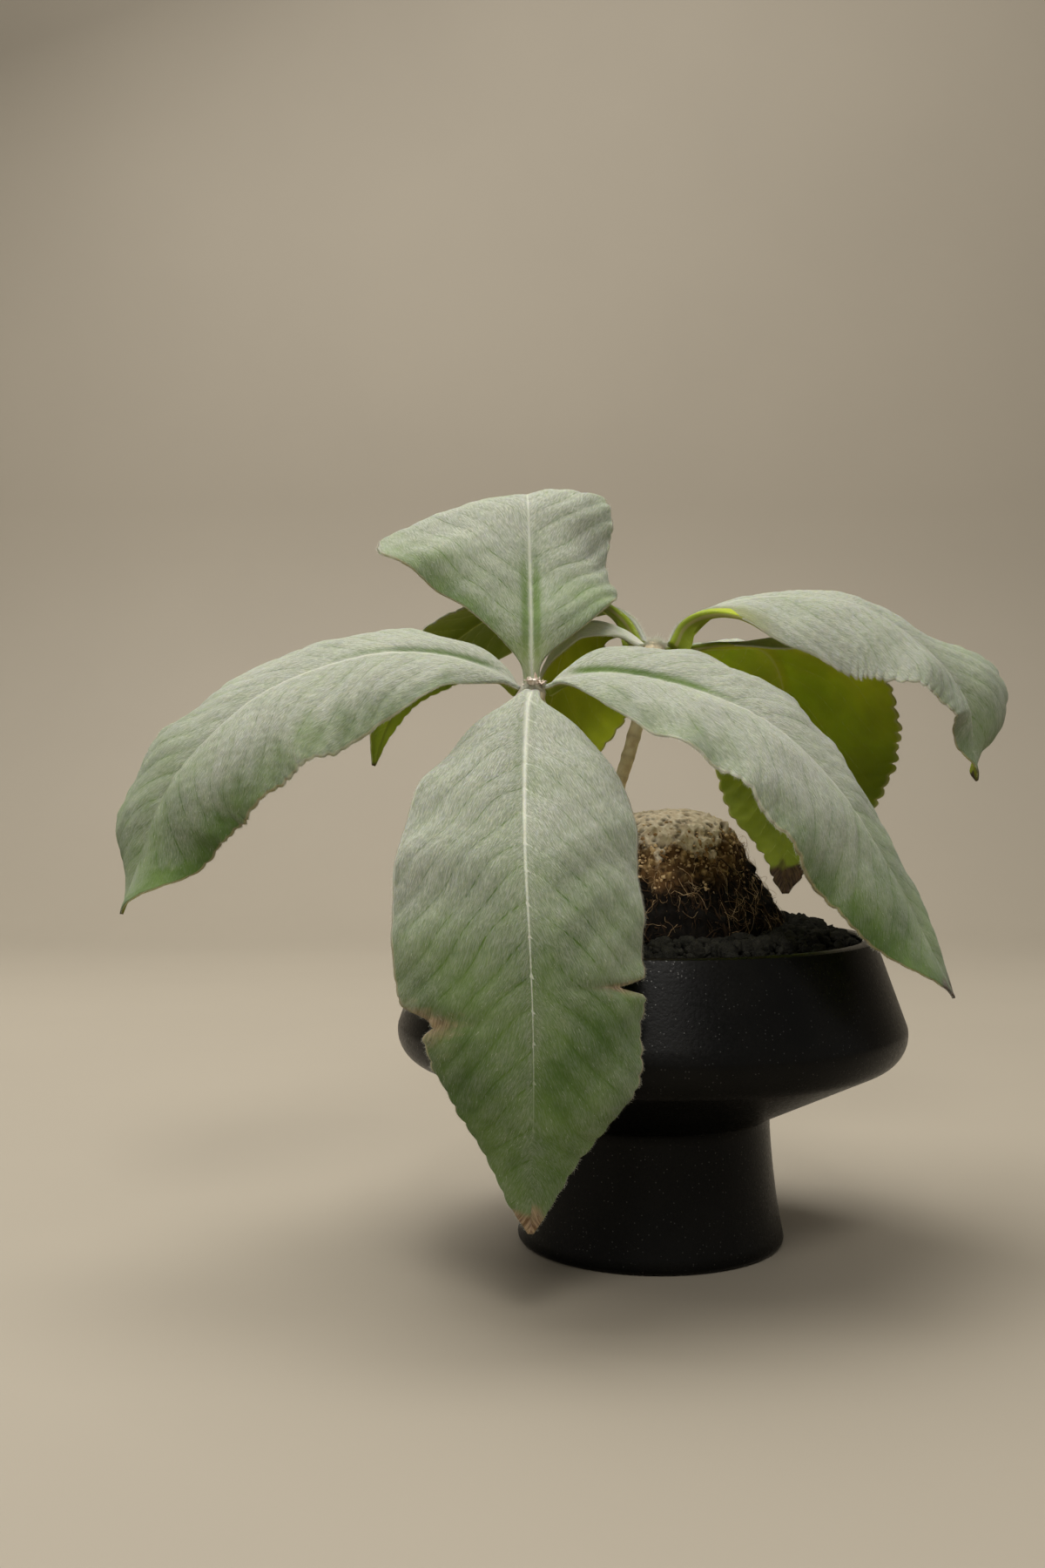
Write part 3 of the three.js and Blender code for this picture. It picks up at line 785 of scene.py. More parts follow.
def buildFringe(name, shape, leaf):
    draw = np.random.default_rng(int(shape["phase"] * 100) + 5)
    b = leafBuild
    roots, headings, lengths = [], [], []
    count = int(leaf["length"] / fringe["marginGap"])
    shares = (np.arange(count) + draw.uniform(0, 1, count)) / count
    shares = np.sort(np.clip(shares, 0.012, 0.995))
    sheet = leafSheet(shape, shares, np.array([0.0, 0.5, 0.94, 1.0]))
    forward = unit(np.gradient(sheet["points"][:, 3], axis=0))
    # On a bare stalk the down grows along the upper edges and leaves the sides clear.
    raised = (smooth(0.18, 0.12, shares) * shape["greenStalk"])[:, None]
    for column, inner in ((0, 1), (6, 5)):
        shoulder = sheet["points"][:, 2 if column == 0 else 4]
        outward = unit(sheet["points"][:, column] - sheet["points"][:, inner])
        normal = sheet["normal"][:, column]
        lean = draw.uniform(0.2, 1.1, (count, 1))
        tip = draw.normal(0, 0.4, (count, 1)) * (1 - raised) + 0.9 * raised
        headings.append(outward * (1 - 0.6 * raised) + normal * tip + forward * lean)
        middle = (b["upperSkin"] - sheet["edge"][:, column] / 2)[:, None]
        skin = middle + draw.uniform(-0.3, 0.3, (count, 1))
        start = sheet["points"][:, column] * (1 - raised) + shoulder * raised
        skin = skin * (1 - raised) + (b["upperSkin"] - 0.2) * raised
        roots.append(start + normal * skin - outward * 0.15)
        lengths.append(draw.uniform(*fringe["marginLength"], count) * (1 + 0.7 * raised[:, 0]))
    count = int(leaf["length"] / fringe["ribGap"])
    shares = np.sort(draw.uniform(0.03, 0.75, count))
    sheet = leafSheet(shape, shares, np.array([0.0, 0.02, 0.06]))
    forward = unit(np.gradient(sheet["points"][:, 2], axis=0))
    for column, outer in ((1, 0), (3, 4)):
        outward = unit(sheet["points"][:, outer] - sheet["points"][:, 2])
        normal = sheet["normal"][:, column]
        lean, lift = draw.uniform(0.6, 1.4, (count, 1)), draw.uniform(0.05, 0.4, (count, 1))
        headings.append(outward + forward * lean + normal * lift)
        roots.append(sheet["points"][:, column] + normal * (b["upperSkin"] - 0.1))
        lengths.append(draw.uniform(*fringe["ribLength"], count))

    # Over the face the hairs lie almost flat, and thin out where the leaf is green.
    points, normals = leaf["points"], leaf["normal"]
    outwards = np.gradient(points, axis=1)
    outwards[:, : b["lanes"]] *= -1
    forwards = np.gradient(points, axis=0)
    height, width = points.shape[:2]
    row = draw.integers(2, height - 3, 3 * fringe["faceHairs"])
    column = draw.integers(1, width - 1, len(row))
    room = np.minimum(leaf["margin"][row, 0 * column + b["lanes"]] / 30, 1)
    keep = draw.uniform(0, 1, len(row)) < room * (0.25 + 0.75 * leaf["down"][row, column])
    row, column = row[keep][: fringe["faceHairs"]], column[keep][: fringe["faceHairs"]]
    count = len(row)
    shift = draw.uniform(0, 1, (count, 1))
    start = points[row, column] * (1 - shift) + points[row + 1, column] * shift
    normal = normals[row, column]
    ahead = unit(forwards[row, column]) * draw.normal(1.9, 0.4, (count, 1))
    course = unit(outwards[row, column]) + ahead
    headings.append(unit(course) + normal * draw.uniform(0.02, 0.22, (count, 1)))
    roots.append(start + normal * (b["upperSkin"] - 0.03))
    lengths.append(draw.uniform(*fringe["faceLength"], count))

    lengths = np.concatenate(lengths) * mm
    radii = draw.uniform(0.75, 1.25, len(lengths)) * fringe["radius"] * mm
    roots, headings = np.concatenate(roots) * mm, unit(np.concatenate(headings))
    hand(spikeMesh(name + "_fringe", roots, headings, lengths, radii), hairFinish, "leaf_felt")


leafColours = {
    "green": ((0.056, 0.105, 0.016), (0.112, 0.18, 0.04)),
    "silver": ((0.235, 0.252, 0.196), (0.42, 0.436, 0.366)),
    "midrib": (0.62, 0.64, 0.53),
    "bareTop": (0.2, 0.215, 0.08),
    "stalk": (0.2, 0.255, 0.014),
    # Lighter than the underside's own colour: painted light for light through the blade.
    "underside": ((0.36, 0.42, 0.01), (0.52, 0.58, 0.018)),
    # Painted shade: the deep green for undersides that hang in shade.
    "underShade": (0.065, 0.11, 0.014),
    "underVein": (0.5, 0.54, 0.14),
    "underDown": (0.42, 0.43, 0.2),
    "paleRim": (0.6, 0.6, 0.49),
    "brownRim": (0.4, 0.33, 0.19),
    "hairs": ((0.4, 0.4, 0.3), (0.62, 0.63, 0.53)),
    "husk": ((0.02, 0.011, 0.005), (0.1, 0.06, 0.028)),
    "paleHusk": ((0.13, 0.075, 0.035), (0.42, 0.31, 0.19)),
}


# What both faces of a leaf share: hairs at two sizes, the broken side veins and the midrib.
def makeLeafGroup():
    tree, start, end = newGroup(
        "leafPattern", {"Reach": 0.5, "Share": 0.5, "Feather": 0.3},
        ["Fine", "Medium", "Veins", "Midrib", "Away"],
    )
    flat, reach, share, feathered = start.outputs[:4]
    away, upLeaf = put(tree, "ShaderNodeSeparateXYZ", Vector=flat).outputs[:2]
    # The hairs lie nearer to the midrib's course than the side veins do.
    slanted = calc(tree, "SUBTRACT", upLeaf, away)
    lying = put(tree, "ShaderNodeCombineXYZ", X=away, Y=slanted).outputs[0]
    fine = useGroup(tree, napGroup, Map=lying, Along=11.0, Across=17.0)[0]
    medium = useGroup(tree, napGroup, Map=lying, Along=4.0, Across=6.0)[0]
    # The side veins are thin dark lines that come and go. Beside the midrib they are white with hair.
    gap = calc(tree, "PINGPONG", calc(tree, "DIVIDE", upLeaf, leafBuild["veinPitch"] / 10), 0.5)
    feather = times(tree, span(tree, away, 0.95, 0.15), feathered)
    crease = times(tree, span(tree, gap, 0.0, 0.05, 1.0, 0.0), span(tree, reach, 0.92, 0.6))
    crease = times(tree, crease, calc(tree, "SUBTRACT", 1.0, feather, True))
    broken = times(tree, crease, span(tree, medium, 0.75, 0.2))
    # The midrib is a pale woolly line that narrows and fades towards the tip.
    ribWidth = span(tree, share, 0.02, 0.72, 0.082, 0.016)
    branch = times(tree, span(tree, gap, 0.06, 0.0), feather)
    reached = calc(tree, "SUBTRACT", away, times(tree, branch, 0.05))
    ribEdge = calc(tree, "ADD", calc(tree, "DIVIDE", reached, ribWidth), times(tree, fine, 0.9))
    rib = times(tree, span(tree, ribEdge, 1.7, 0.6), span(tree, share, 0.9, 0.6))
    streak = times(tree, times(tree, branch, span(tree, fine, 0.1, 0.6)), 0.6)
    rib = calc(tree, "MAXIMUM", rib, times(tree, streak, span(tree, share, 0.6, 0.4)))
    for index, value in enumerate((fine, medium, broken, rib, away)):
        join(tree, value, end.inputs[index])
    return tree


leafGroup = makeLeafGroup()


def useLeafGroup(tree):
    marks = {label: attribute(tree, label.lower()) for label in ("Reach", "Share", "Feather")}
    flat = put(tree, "ShaderNodeUVMap", uv_map="surfaceMap").outputs[0]
    return useGroup(tree, leafGroup, Map=flat, **marks), mottle(tree, 60.0)


def huskColour(tree, grain):
    c = leafColours
    dark, pale = blendColour(tree, grain, *c["husk"]), blendColour(tree, grain, *c["paleHusk"])
    return blendColour(tree, attribute(tree, "paleHusk"), dark, pale)


def makeLeafFinish():
    c = leafColours
    material, tree, shader = newFinish("silverFelt", {
        "Roughness": 0.82, "Specular IOR Level": 0.2, "Sheen Weight": 0.18, "Sheen Roughness": 0.45,
        "Subsurface Weight": 0.3, "Subsurface Radius": (0.55, 1.0, 0.08), "Subsurface Scale": 0.0016,
    })
    (fine, medium, broken, rib, away), patches = useLeafGroup(tree)
    reach, down, dried = (attribute(tree, name) for name in ("reach", "down", "dried"))

    streaks = times(tree, calc(tree, "SUBTRACT", fine, 0.5), 0.23)
    streaks = calc(tree, "ADD", streaks, times(tree, calc(tree, "SUBTRACT", medium, 0.5), 0.04))
    hairy = calc(tree, "ADD", times(tree, down, 0.9), streaks)
    hairy = calc(tree, "ADD", hairy, span(tree, away, 0.4, 0.05, 0.0, 0.08))
    hairy = calc(tree, "SUBTRACT", hairy, times(tree, broken, 0.5), True)
    green = blendColour(tree, patches, *c["green"])
    silver = blendColour(tree, fine, *c["silver"])
    # Painted light: on leaves that lie in other leaves' shade the silver is made paler, towards the
    # midrib's colour.
    silver = blendColour(tree, attribute(tree, "paintedLight"), silver, c["midrib"])
    colour = blendColour(tree, hairy, green, silver)
    colour = blendColour(tree, attribute(tree, "bare"), colour, c["bareTop"])
    colour = blendColour(tree, times(tree, rib, attribute(tree, "ribTone")), colour, c["midrib"])
    rimColour = blendColour(tree, span(tree, down, 0.35, 0.75), c["brownRim"], c["paleRim"])
    colour = blendColour(tree, span(tree, reach, 0.97, 0.992, 0.0, 0.75), colour, rimColour)
    colour = blendColour(tree, dried, colour, huskColour(tree, medium))
    join(tree, colour, shader.inputs["Base Color"])
    height = calc(tree, "ADD", times(tree, fine, 0.7), times(tree, medium, 0.3))
    height = calc(tree, "SUBTRACT", height, times(tree, broken, 0.8))
    bump(tree, shader, height, 0.6, 0.00024)
    return material


# The underside is bare and yellow-green, brightest on the stalk, with paler veins. Its yellow-green is
# set lighter than the leaf's own: painted light for the light that comes through the thin blade.
def makeUndersideFinish():
    c = leafColours
    material, tree, shader = newFinish("leafUnderside", {
        "Roughness": 0.7, "Specular IOR Level": 0.15, "Subsurface Weight": 0.45,
        "Subsurface Radius": (0.7, 1.0, 0.03), "Subsurface Scale": 0.002,
    })
    (fine, medium, broken, rib, _), patches = useLeafGroup(tree)
    colour = blendColour(tree, patches, *c["underside"])
    # Painted shade: where the underside hangs in the shade of leaves above, it is darkened to a deep
    # green.
    colour = blendColour(tree, attribute(tree, "underShade"), colour, c["underShade"])
    stalk = span(tree, attribute(tree, "share"), 0.2, 0.07)
    colour = blendColour(tree, stalk, colour, c["stalk"])
    colour = blendColour(tree, times(tree, fine, 0.07), colour, c["underDown"])
    veins = calc(tree, "MAXIMUM", times(tree, broken, 0.7), rib)
    colour = blendColour(tree, times(tree, veins, 0.5), colour, c["underVein"])
    rim = span(tree, attribute(tree, "reach"), 0.96, 0.995, 0.0, 0.5)
    colour = blendColour(tree, rim, colour, c["brownRim"])
    colour = blendColour(tree, attribute(tree, "dried"), colour, huskColour(tree, medium))
    join(tree, colour, shader.inputs["Base Color"])
    height = calc(tree, "ADD", times(tree, fine, 0.4), times(tree, broken, 0.8))
    bump(tree, shader, height, 0.4, 0.00022)
    return material


def makeHairFinish():
    material, tree, shader = newFinish("paleDown", {"Roughness": 0.65, "Sheen Weight": 0.3})
    colour = blendColour(tree, mottle(tree, 120.0), *leafColours["hairs"])
    join(tree, colour, shader.inputs["Base Color"])
    return material


leafFinish = makeLeafFinish()
undersideFinish = makeUndersideFinish()
hairFinish = makeHairFinish()
for name, ownShape in leafShapes.items():
    shape = {**leafDefaults, **ownShape}
    buildFringe(name, shape, buildLeaf(name, shape))
print("leaves done")


# The bowl

potShape = {
    "rimRadius": 65.6,
    "rimHeight": 90,
    "shoulderRadius": 75,
    "shoulderHeight": 63,
    "shoulderRound": 10,
    "neckRadius": 35.2,
    "neckHeight": 37.6,
    "footRadius": 39.4,
    "footRound": 2,
    "flareBelly": 1,
    "wall": 4.6,
    "floor": 6,
    "sides": 160,
}


def evenSteps(start, end, count):
    return [(start[0] + (end[0] - start[0]) * step / (count + 1),
             start[1] + (end[1] - start[1]) * step / (count + 1)) for step in range(1, count + 1)]


def potOutside():
    p = potShape
    points = [(p["footRadius"] - p["footRound"] * 1.4, 0)]
    for step in range(5):
        turn = math.radians(-90 + 90 * step / 4)
        points.append((p["footRadius"] + p["footRound"] * (math.cos(turn) - 1),
                       p["footRound"] * (1 + math.sin(turn))))
    belly = p["neckRadius"] + p["flareBelly"]
    for step in range(1, 13):
        t = step / 12
        points.append((
            (1 - t) ** 2 * p["footRadius"] + 2 * t * (1 - t) * belly + t * t * p["neckRadius"],
            (1 - t) ** 2 * p["footRound"] + 2 * t * (1 - t) * p["neckHeight"] * 0.45
            + t * t * p["neckHeight"],
        ))
    centre = p["shoulderRadius"] - p["shoulderRound"]
    slope = [(centre + p["shoulderRound"] * math.cos(math.radians(a)),
              p["shoulderHeight"] + p["shoulderRound"] * math.sin(math.radians(a)))
             for a in range(-62, 13, 6)]
    # A small hollow where the neck runs into the cone, as the glaze pools there.
    points[-1] = (p["neckRadius"] + 0.1, p["neckHeight"] - 0.5)
    points.append((p["neckRadius"] + 0.5, p["neckHeight"] + 0.15))
    points.append((p["neckRadius"] + 1.4, p["neckHeight"] + 0.8))
    points += evenSteps(points[-1], slope[0], 7) + slope
    lip = (p["rimRadius"] + 0.5, p["rimHeight"] - 1)
    points += evenSteps(slope[-1], lip, 6)
    points += [lip, (p["rimRadius"] + 0.25, p["rimHeight"] - 0.35)]
    points.append((p["rimRadius"] - 0.4, p["rimHeight"]))
    return points


def potInside():
    p = potShape
    lip = p["rimRadius"] - p["wall"] + 1
    return [
        (lip + 0.6, p["rimHeight"]),
        (lip + 0.15, p["rimHeight"] - 0.35),
        (lip, p["rimHeight"] - 1),
        (p["shoulderRadius"] - p["wall"] - 0.6, p["shoulderHeight"] + 1),
        (p["shoulderRadius"] - p["wall"] - 5.4, p["shoulderHeight"] - 7.5),
        (p["neckRadius"] - p["wall"], p["neckHeight"] + 4.4),
        (p["neckRadius"] - p["wall"], p["neckHeight"]),
        (p["footRadius"] - p["wall"] - 2, p["floor"] + 3),
        (p["footRadius"] - p["wall"] - 5, p["floor"]),
    ]


# The profile is drawn by extruding one point, and spun round the bowl's axis.
def spunBody(name, profile, sides):
    deselectAll()
    bpy.ops.mesh.primitive_plane_add(size=0.001, location=(0, 0, 0))
    piece = bpy.context.active_object
    piece.name = name
    piece.data.name = name
    bpy.ops.object.mode_set(mode="EDIT")
    bpy.ops.mesh.select_all(action="SELECT")
    bpy.ops.mesh.merge(type="CENTER")
    last = Vector((0, 0, 0))
    for radius, height in profile:
        target = Vector((radius * mm, 0, height * mm))
        if last.length == 0:
            bpy.ops.transform.translate(value=target)
        else:
            bpy.ops.mesh.extrude_region_move(TRANSFORM_OT_translate={"value": target - last})
        last = target
    bpy.ops.mesh.select_all(action="SELECT")
    bpy.ops.mesh.spin(steps=sides, angle=2 * math.pi, center=(0, 0, 0), axis=(0, 0, 1))
    closeUp()
    bpy.ops.object.mode_set(mode="OBJECT")
    bpy.ops.object.shade_smooth_by_angle(angle=math.radians(35))
    return piece


potColours = {
    "dark": (0.0012, 0.0012, 0.0009),
    "light": (0.0034, 0.0032, 0.0025),
    "fleck": (0.055, 0.055, 0.052),
}


def makePotFinish():
    c = potColours
    material, tree, shader = newFinish("blackGlaze", {"Specular IOR Level": 0.11})
    place = objectPlace(tree)
    noise = put(tree, "ShaderNodeTexNoise", Vector=place, Scale=1100.0, Detail=2.0, Roughness=0.6)
    fine = noise.outputs[0]
    flecks = put(tree, "ShaderNodeTexVoronoi", Vector=place, Scale=1000.0, Randomness=1.0).outputs
    # Only some cells hold a grain of mica under the glaze, and each is small.
    chosen = put(tree, "ShaderNodeSeparateColor", Color=flecks["Color"])
    few = span(tree, chosen.outputs[0], 0.66, 0.68)
    fleck = times(tree, few, span(tree, flecks["Distance"], 0.22, 0.12))
    body = blendColour(tree, mottle(tree, 55.0), c["dark"], c["light"])
    join(tree, blendColour(tree, fleck, body, c["fleck"]), shader.inputs["Base Color"])
    join(tree, fleck, shader.inputs["Metallic"])
    join(tree, span(tree, fine, 0.3, 0.7, 0.27, 0.4), shader.inputs["Roughness"])
    bump(tree, shader, fine, 0.35, 0.00012)
    return material


pot = spunBody("pot_glazed", potOutside() + potInside(), potShape["sides"])
hand(pot, makePotFinish(), "pot_ceramic", "pot")
print("pot done")


# The tuber

tuberShape = {
    "centre": (-1, 0, 84),
    "radius": 38.6,
    "top": 42.5,
    "depth": 33,
    "squareness": 3.2,
    "taper": 0.2,
    "taperEnds": (0.15, 0.65),
    "tilt": 0.12,
    "rings": 170,
    "sides": 290,
    "pits": 360,
    "pitSize": (0.36, 0.85),
    "scabs": 700,
    "scabSize": (0.4, 1.25),
}


def tuberPlace(azimuth, height, extra=0):
    t = tuberShape
    swelling = 1.2 * np.sin(3 * azimuth + 0.6) * np.cos(1.7 * height)
    bumps = 0.8 * np.sin(5 * azimuth + 2.1 + 1.5 * height)
    scars = 0.6 * np.sin(9 * azimuth + 6 * height) * np.sin(11 * height + 2 * azimuth)
    reach = np.where(height > 0, t["top"], t["depth"])
    level = np.sin(height * math.pi / 2)
    flat = np.clip(1 - np.abs(level) ** t["squareness"], 0, 1)
    radius = t["radius"] * flat ** (1 / t["squareness"])
    radius = radius * (1 - t["taper"] * smooth(*t["taperEnds"], level))
    calm = 1 - np.abs(level) ** 6
    across = radius + (swelling + bumps + scars + extra) * calm
    x = across * np.cos(azimuth)
    rise = level * (reach + extra) + t["tilt"] * x * np.maximum(level, 0)
    return np.stack([t["centre"][0] + x, t["centre"][1] + across * np.sin(azimuth),
                     t["centre"][2] + rise], axis=-1)


# Bark: rough all over, with round pits in the pale top, crumbs below it and ridges of old root
# on the dark side.
def tuberSkin():
    t = tuberShape
    draw = np.random.default_rng(11)
    heights = np.linspace(-1, 1, t["rings"] + 1)[:, None]
    azimuths = np.linspace(0, 2 * math.pi, t["sides"] + 1)[None]
    azimuth, height = np.broadcast_arrays(azimuths, heights)
    base = tuberPlace(azimuth, height)
    x, y, z = base[..., 0], base[..., 1], base[..., 2]
    wander = 3.5 * ripple(3, 15, x, y, z) + 1.2 * ripple(4, 4, x, y, z) - 7.5 * smooth(13, 32, x)
    upper = smooth(107, 116, z + wander)
    rough = 0.3 * ripple(21, 5, x, y, z) + 0.16 * ripple(22, 2.4, x, y, z)
    strands = ripple(23, 2.2, np.cos(azimuth) * 38, np.sin(azimuth) * 38) + 0.5 * ripple(24, 6, x, y, z)
    extra = rough + (1 - upper) * (0.6 * strands + 0.6 * ripple(25, 8, x, y, z))
    pit = np.zeros_like(extra)
    for _ in range(t["pits"]):
        centre = tuberPlace(draw.uniform(0, 2 * math.pi), draw.uniform(0.3, 1) ** 0.8)
        size = draw.uniform(*t["pitSize"])
        near = np.linalg.norm(base - centre, axis=2) / size
        hole = np.exp(-(near**2.4))
        extra = extra - 1.1 * size * hole + 0.3 * size * np.exp(-(((near - 1.7) / 0.5) ** 2))
        pit = np.maximum(pit, hole)
    scab = np.zeros_like(extra)
    for _ in range(t["scabs"]):
        centre = tuberPlace(draw.uniform(0, 2 * math.pi), draw.normal(0.42, 0.16))
        size = draw.uniform(*t["scabSize"])
        lift = np.exp(-((np.linalg.norm(base - centre, axis=2) / size) ** 4))
        extra = extra + 0.6 * size * lift
        scab = np.maximum(scab, lift * draw.uniform(0.3, 1))
    points = tuberPlace(azimuth, height, extra)
    marks = {"pit": pit, "scab": scab, "wander": wander}
    return bentGrid("tuber_bark", points * mm, marks)


barkColours = {
    # The tan is lighter than the top's own pale colour: painted light for the top, which lies in the
    # leaves' shade.
    "tan": ((0.72, 0.58, 0.4), (0.95, 0.85, 0.68)),
    "brown": ((0.035, 0.018, 0.006), (0.17, 0.09, 0.034)),
    "patch": (0.46, 0.32, 0.18),
    "dark": ((0.0012, 0.0008, 0.0005), (0.006, 0.0036, 0.002)),
    "scab": ((0.15, 0.08, 0.03), (0.6, 0.42, 0.19)),
    "pit": (0.02, 0.011, 0.005),
    # Between which heights the dark bark turns brown, and the brown bark tan
    "brownFrom": (0.103, 0.111),
    "tanFrom": (0.115, 0.1195),
}


def makeBarkFinish():
    c = barkColours
    material, tree, shader = newFinish("pittedBark", {"Roughness": 0.9, "Specular IOR Level": 0.2})
    patches, grains = mottle(tree, 110.0), mottle(tree, 600.0)
    place = objectPlace(tree)
    noise = put(tree, "ShaderNodeTexNoise", Vector=place, Scale=160.0, Detail=5.0, Roughness=0.7)
    rugged = noise.outputs[0]
    # The height above the table, shifted so that each colour ends in a ragged line.
    ragged = times(tree, calc(tree, "SUBTRACT", rugged, 0.5), 0.02)
    level = calc(tree, "ADD", objectHeight(tree), times(tree, attribute(tree, "wander"), 0.001))
    level = calc(tree, "ADD", level, ragged)
    dark = blendColour(tree, grains, *c["dark"])
    brown = blendColour(tree, patches, *c["brown"])
    scab = blendColour(tree, grains, *c["scab"])
    brown = blendColour(tree, attribute(tree, "scab"), brown, scab)
    tan = blendColour(tree, grains, *c["tan"])
    tan = blendColour(tree, times(tree, patches, 0.18), tan, c["patch"])
    colour = blendColour(tree, span(tree, level, *c["brownFrom"]), dark, brown)
    colour = blendColour(tree, span(tree, level, *c["tanFrom"]), colour, tan)
    colour = blendColour(tree, times(tree, attribute(tree, "pit"), 0.95), colour, c["pit"])
    join(tree, colour, shader.inputs["Base Color"])
    bump(tree, shader, calc(tree, "ADD", times(tree, grains, 0.5), rugged), 0.7, 0.0005)
    return material


# Roots matted over the tuber: each wanders over the bark and may lift off it. Heights say where on
# the tuber they start, from its waist at 0 to its top at 1.
rootlets = {
    "tuber_roots": {
        "count": 460,
        "radii": (0.14, 0.36),
        "heights": (-0.05, 0.4),
        "lift": (0.0, 0.8),
        "length": (6, 20),
        "colours": ((0.009, 0.005, 0.003), (0.075, 0.04, 0.017)),
        "seed": 31,
    },
    "tuber_root_hairs": {
        "count": 420,
        "radii": (0.04, 0.09),
        "heights": (0.0, 0.55),
        "lift": (0.3, 2.6),
        "length": (5, 17),
        "colours": ((0.34, 0.2, 0.09), (0.78, 0.58, 0.34)),
        "seed": 37,
    },
}
# Most roots hang: their course starts downwards. Girth and rise turn a length into steps on the bark.
rootBuild = {
    "steps": 11,
    "hanging": 0.75,
    "wander": 0.55,
    "girth": 38,
    "rise": 52,
    "looseFrom": 0.8,
    "taper": 0.75,
    "paleFrom": (0.09, 0.108),
}
flakes = {
    "count": 2600,
    "heights": (-0.02, 0.52),
    "length": (0.6, 2.8),
    "radius": (0.08, 0.22),
    "colours": ((0.007, 0.004, 0.002), (0.12, 0.068, 0.03)),
    "seed": 39,
}
# The crumbs' heights are a mean and a spread.
nodules = {
    "count": 1100,
    "heights": (0.49, 0.09),
    "radius": (0.255, 0.7225),
    "colours": ((0.3, 0.16, 0.055), (0.8, 0.6, 0.34)),
    "seed": 43,
}


def rootBundle(name, r):
    b = rootBuild
    steps = b["steps"]
    draw = np.random.default_rng(r["seed"])
    curve = bpy.data.curves.new(name, "CURVE")
    curve.dimensions = "3D"
    curve.bevel_depth = 1 * mm
    curve.bevel_resolution = 0
    curve.use_fill_caps = True
    for _ in range(r["count"]):
        azimuth = draw.uniform(0, 2 * math.pi)
        height = draw.uniform(*r["heights"])
        hangs = draw.random() < b["hanging"]
        course = draw.uniform(-math.pi, 0 if hangs else math.pi)
        size = draw.uniform(*r["length"])
        rise = draw.uniform(*r["lift"])
        points = []
        for step in range(steps + 1):
            t = step / steps
            course += draw.normal(0, b["wander"])
            azimuth += math.cos(course) * size / steps / b["girth"]
            height = min(max(height + math.sin(course) * size / steps / b["rise"], -0.05), 0.98)
            off = 0.3 + rise * math.sin(math.pi * min(t * 1.3, 1)) ** 2
            off += rise * max(t - b["looseFrom"], 0) * 3
            points.append(tuberPlace(azimuth, height, off) * mm)
        strand = curve.splines.new("POLY")
        strand.points.add(steps)
        thick = draw.uniform(*r["radii"])
        for index, point in enumerate(points):
            strand.points[index].co = (*point, 1)
            strand.points[index].radius = thick * (1 - b["taper"] * index / steps)
    pick(newPiece(name, curve))
    bpy.ops.object.convert(target="MESH")
    piece = bpy.context.active_object
    bpy.ops.object.shade_smooth()
    return piece


# Short stiff flakes and root ends that stand out all over the dark side.
def rootFlakes(name):
    draw = np.random.default_rng(flakes["seed"])
    count = flakes["count"]
    azimuth = draw.uniform(0, 2 * math.pi, count)
    height = draw.uniform(*flakes["heights"], count)
    start = tuberPlace(azimuth, height, 0.1)
    outward = unit(tuberPlace(azimuth, height, 5) - start)
    drop = np.array([0, 0, -1]) * draw.uniform(-0.3, 1.4, (count, 1))
    lean = outward * draw.uniform(0.25, 1, (count, 1)) + drop
    heading = unit(lean + draw.normal(0, 0.45, (count, 3)))
    length = draw.uniform(*flakes["length"], count) * mm
    radius = draw.uniform(*flakes["radius"], count) * mm
    return spikeMesh(name, start * mm, heading, length, radius)


# Loose papery crumbs of bark on the golden band between the pale top and the dark side.
def barkCrumbs(name):
    draw = np.random.default_rng(nodules["seed"])
    ball = bmesh.new()
    bmesh.ops.create_icosphere(ball, subdivisions=1, radius=1)
    unitPoints = np.array([vertex.co[:] for vertex in ball.verts])
    unitFaces = np.array([[vertex.index for vertex in face.verts] for face in ball.faces])
    ball.free()
    count = nodules["count"]
    azimuth = draw.uniform(0, 2 * math.pi, count)
    height = np.clip(draw.normal(*nodules["heights"], count), 0.3, 0.75)
    start = tuberPlace(azimuth, height, 0.25)
    outward = unit(tuberPlace(azimuth, height, 5) - start)
    size = draw.uniform(*nodules["radius"], count)[:, None, None]
    rough = unitPoints[None] * (1 + draw.uniform(-0.32, 0.32, (count, len(unitPoints), 1)))
    stretch = draw.uniform(0.55, 1.3, (count, 1, 3))
    points = rough * stretch * size
    # Each crumb is flatter along the line that points out of the bark.
    depth = points @ outward[:, :, None]
    points = points - 0.4 * depth * outward[:, None]
    points = (points + start[:, None]) * mm
    faces = unitFaces[None] + len(unitPoints) * np.arange(count)[:, None, None]
    crumbs = meshPiece(name, points.reshape(-1, 3), faces.reshape(-1, 3).tolist())
    crumbs.data.shade_smooth()
    return crumbs


def makeRootFinish(name, low, high):
    material, tree, shader = newFinish(name, {"Roughness": 0.85, "Specular IOR Level": 0.2})
    patches = mottle(tree, 220.0)
    pale = span(tree, objectHeight(tree), *rootBuild["paleFrom"])
    darker = tuple(part * 0.45 for part in low)
    middle = tuple((a + b) / 2 for a, b in zip(low, high))
    below = blendColour(tree, patches, darker, middle)
    above = blendColour(tree, patches, low, high)
    join(tree, blendColour(tree, pale, below, above), shader.inputs["Base Color"])
    bump(tree, shader, patches, 0.3, 0.0002)
    return material


hand(tuberSkin(), makeBarkFinish(), "tuber_bark", "tuber")
for name, r in rootlets.items():
    hand(rootBundle(name, r), makeRootFinish(name + "Finish", *r["colours"]), "tuber_bark")
hand(rootFlakes("tuber_flakes"), makeRootFinish("flakeFinish", *flakes["colours"]), "tuber_bark")
hand(barkCrumbs("tuber_crumbs"), makeRootFinish("crumbFinish", *nodules["colours"]), "tuber_bark")
print("tuber done")


# The soil

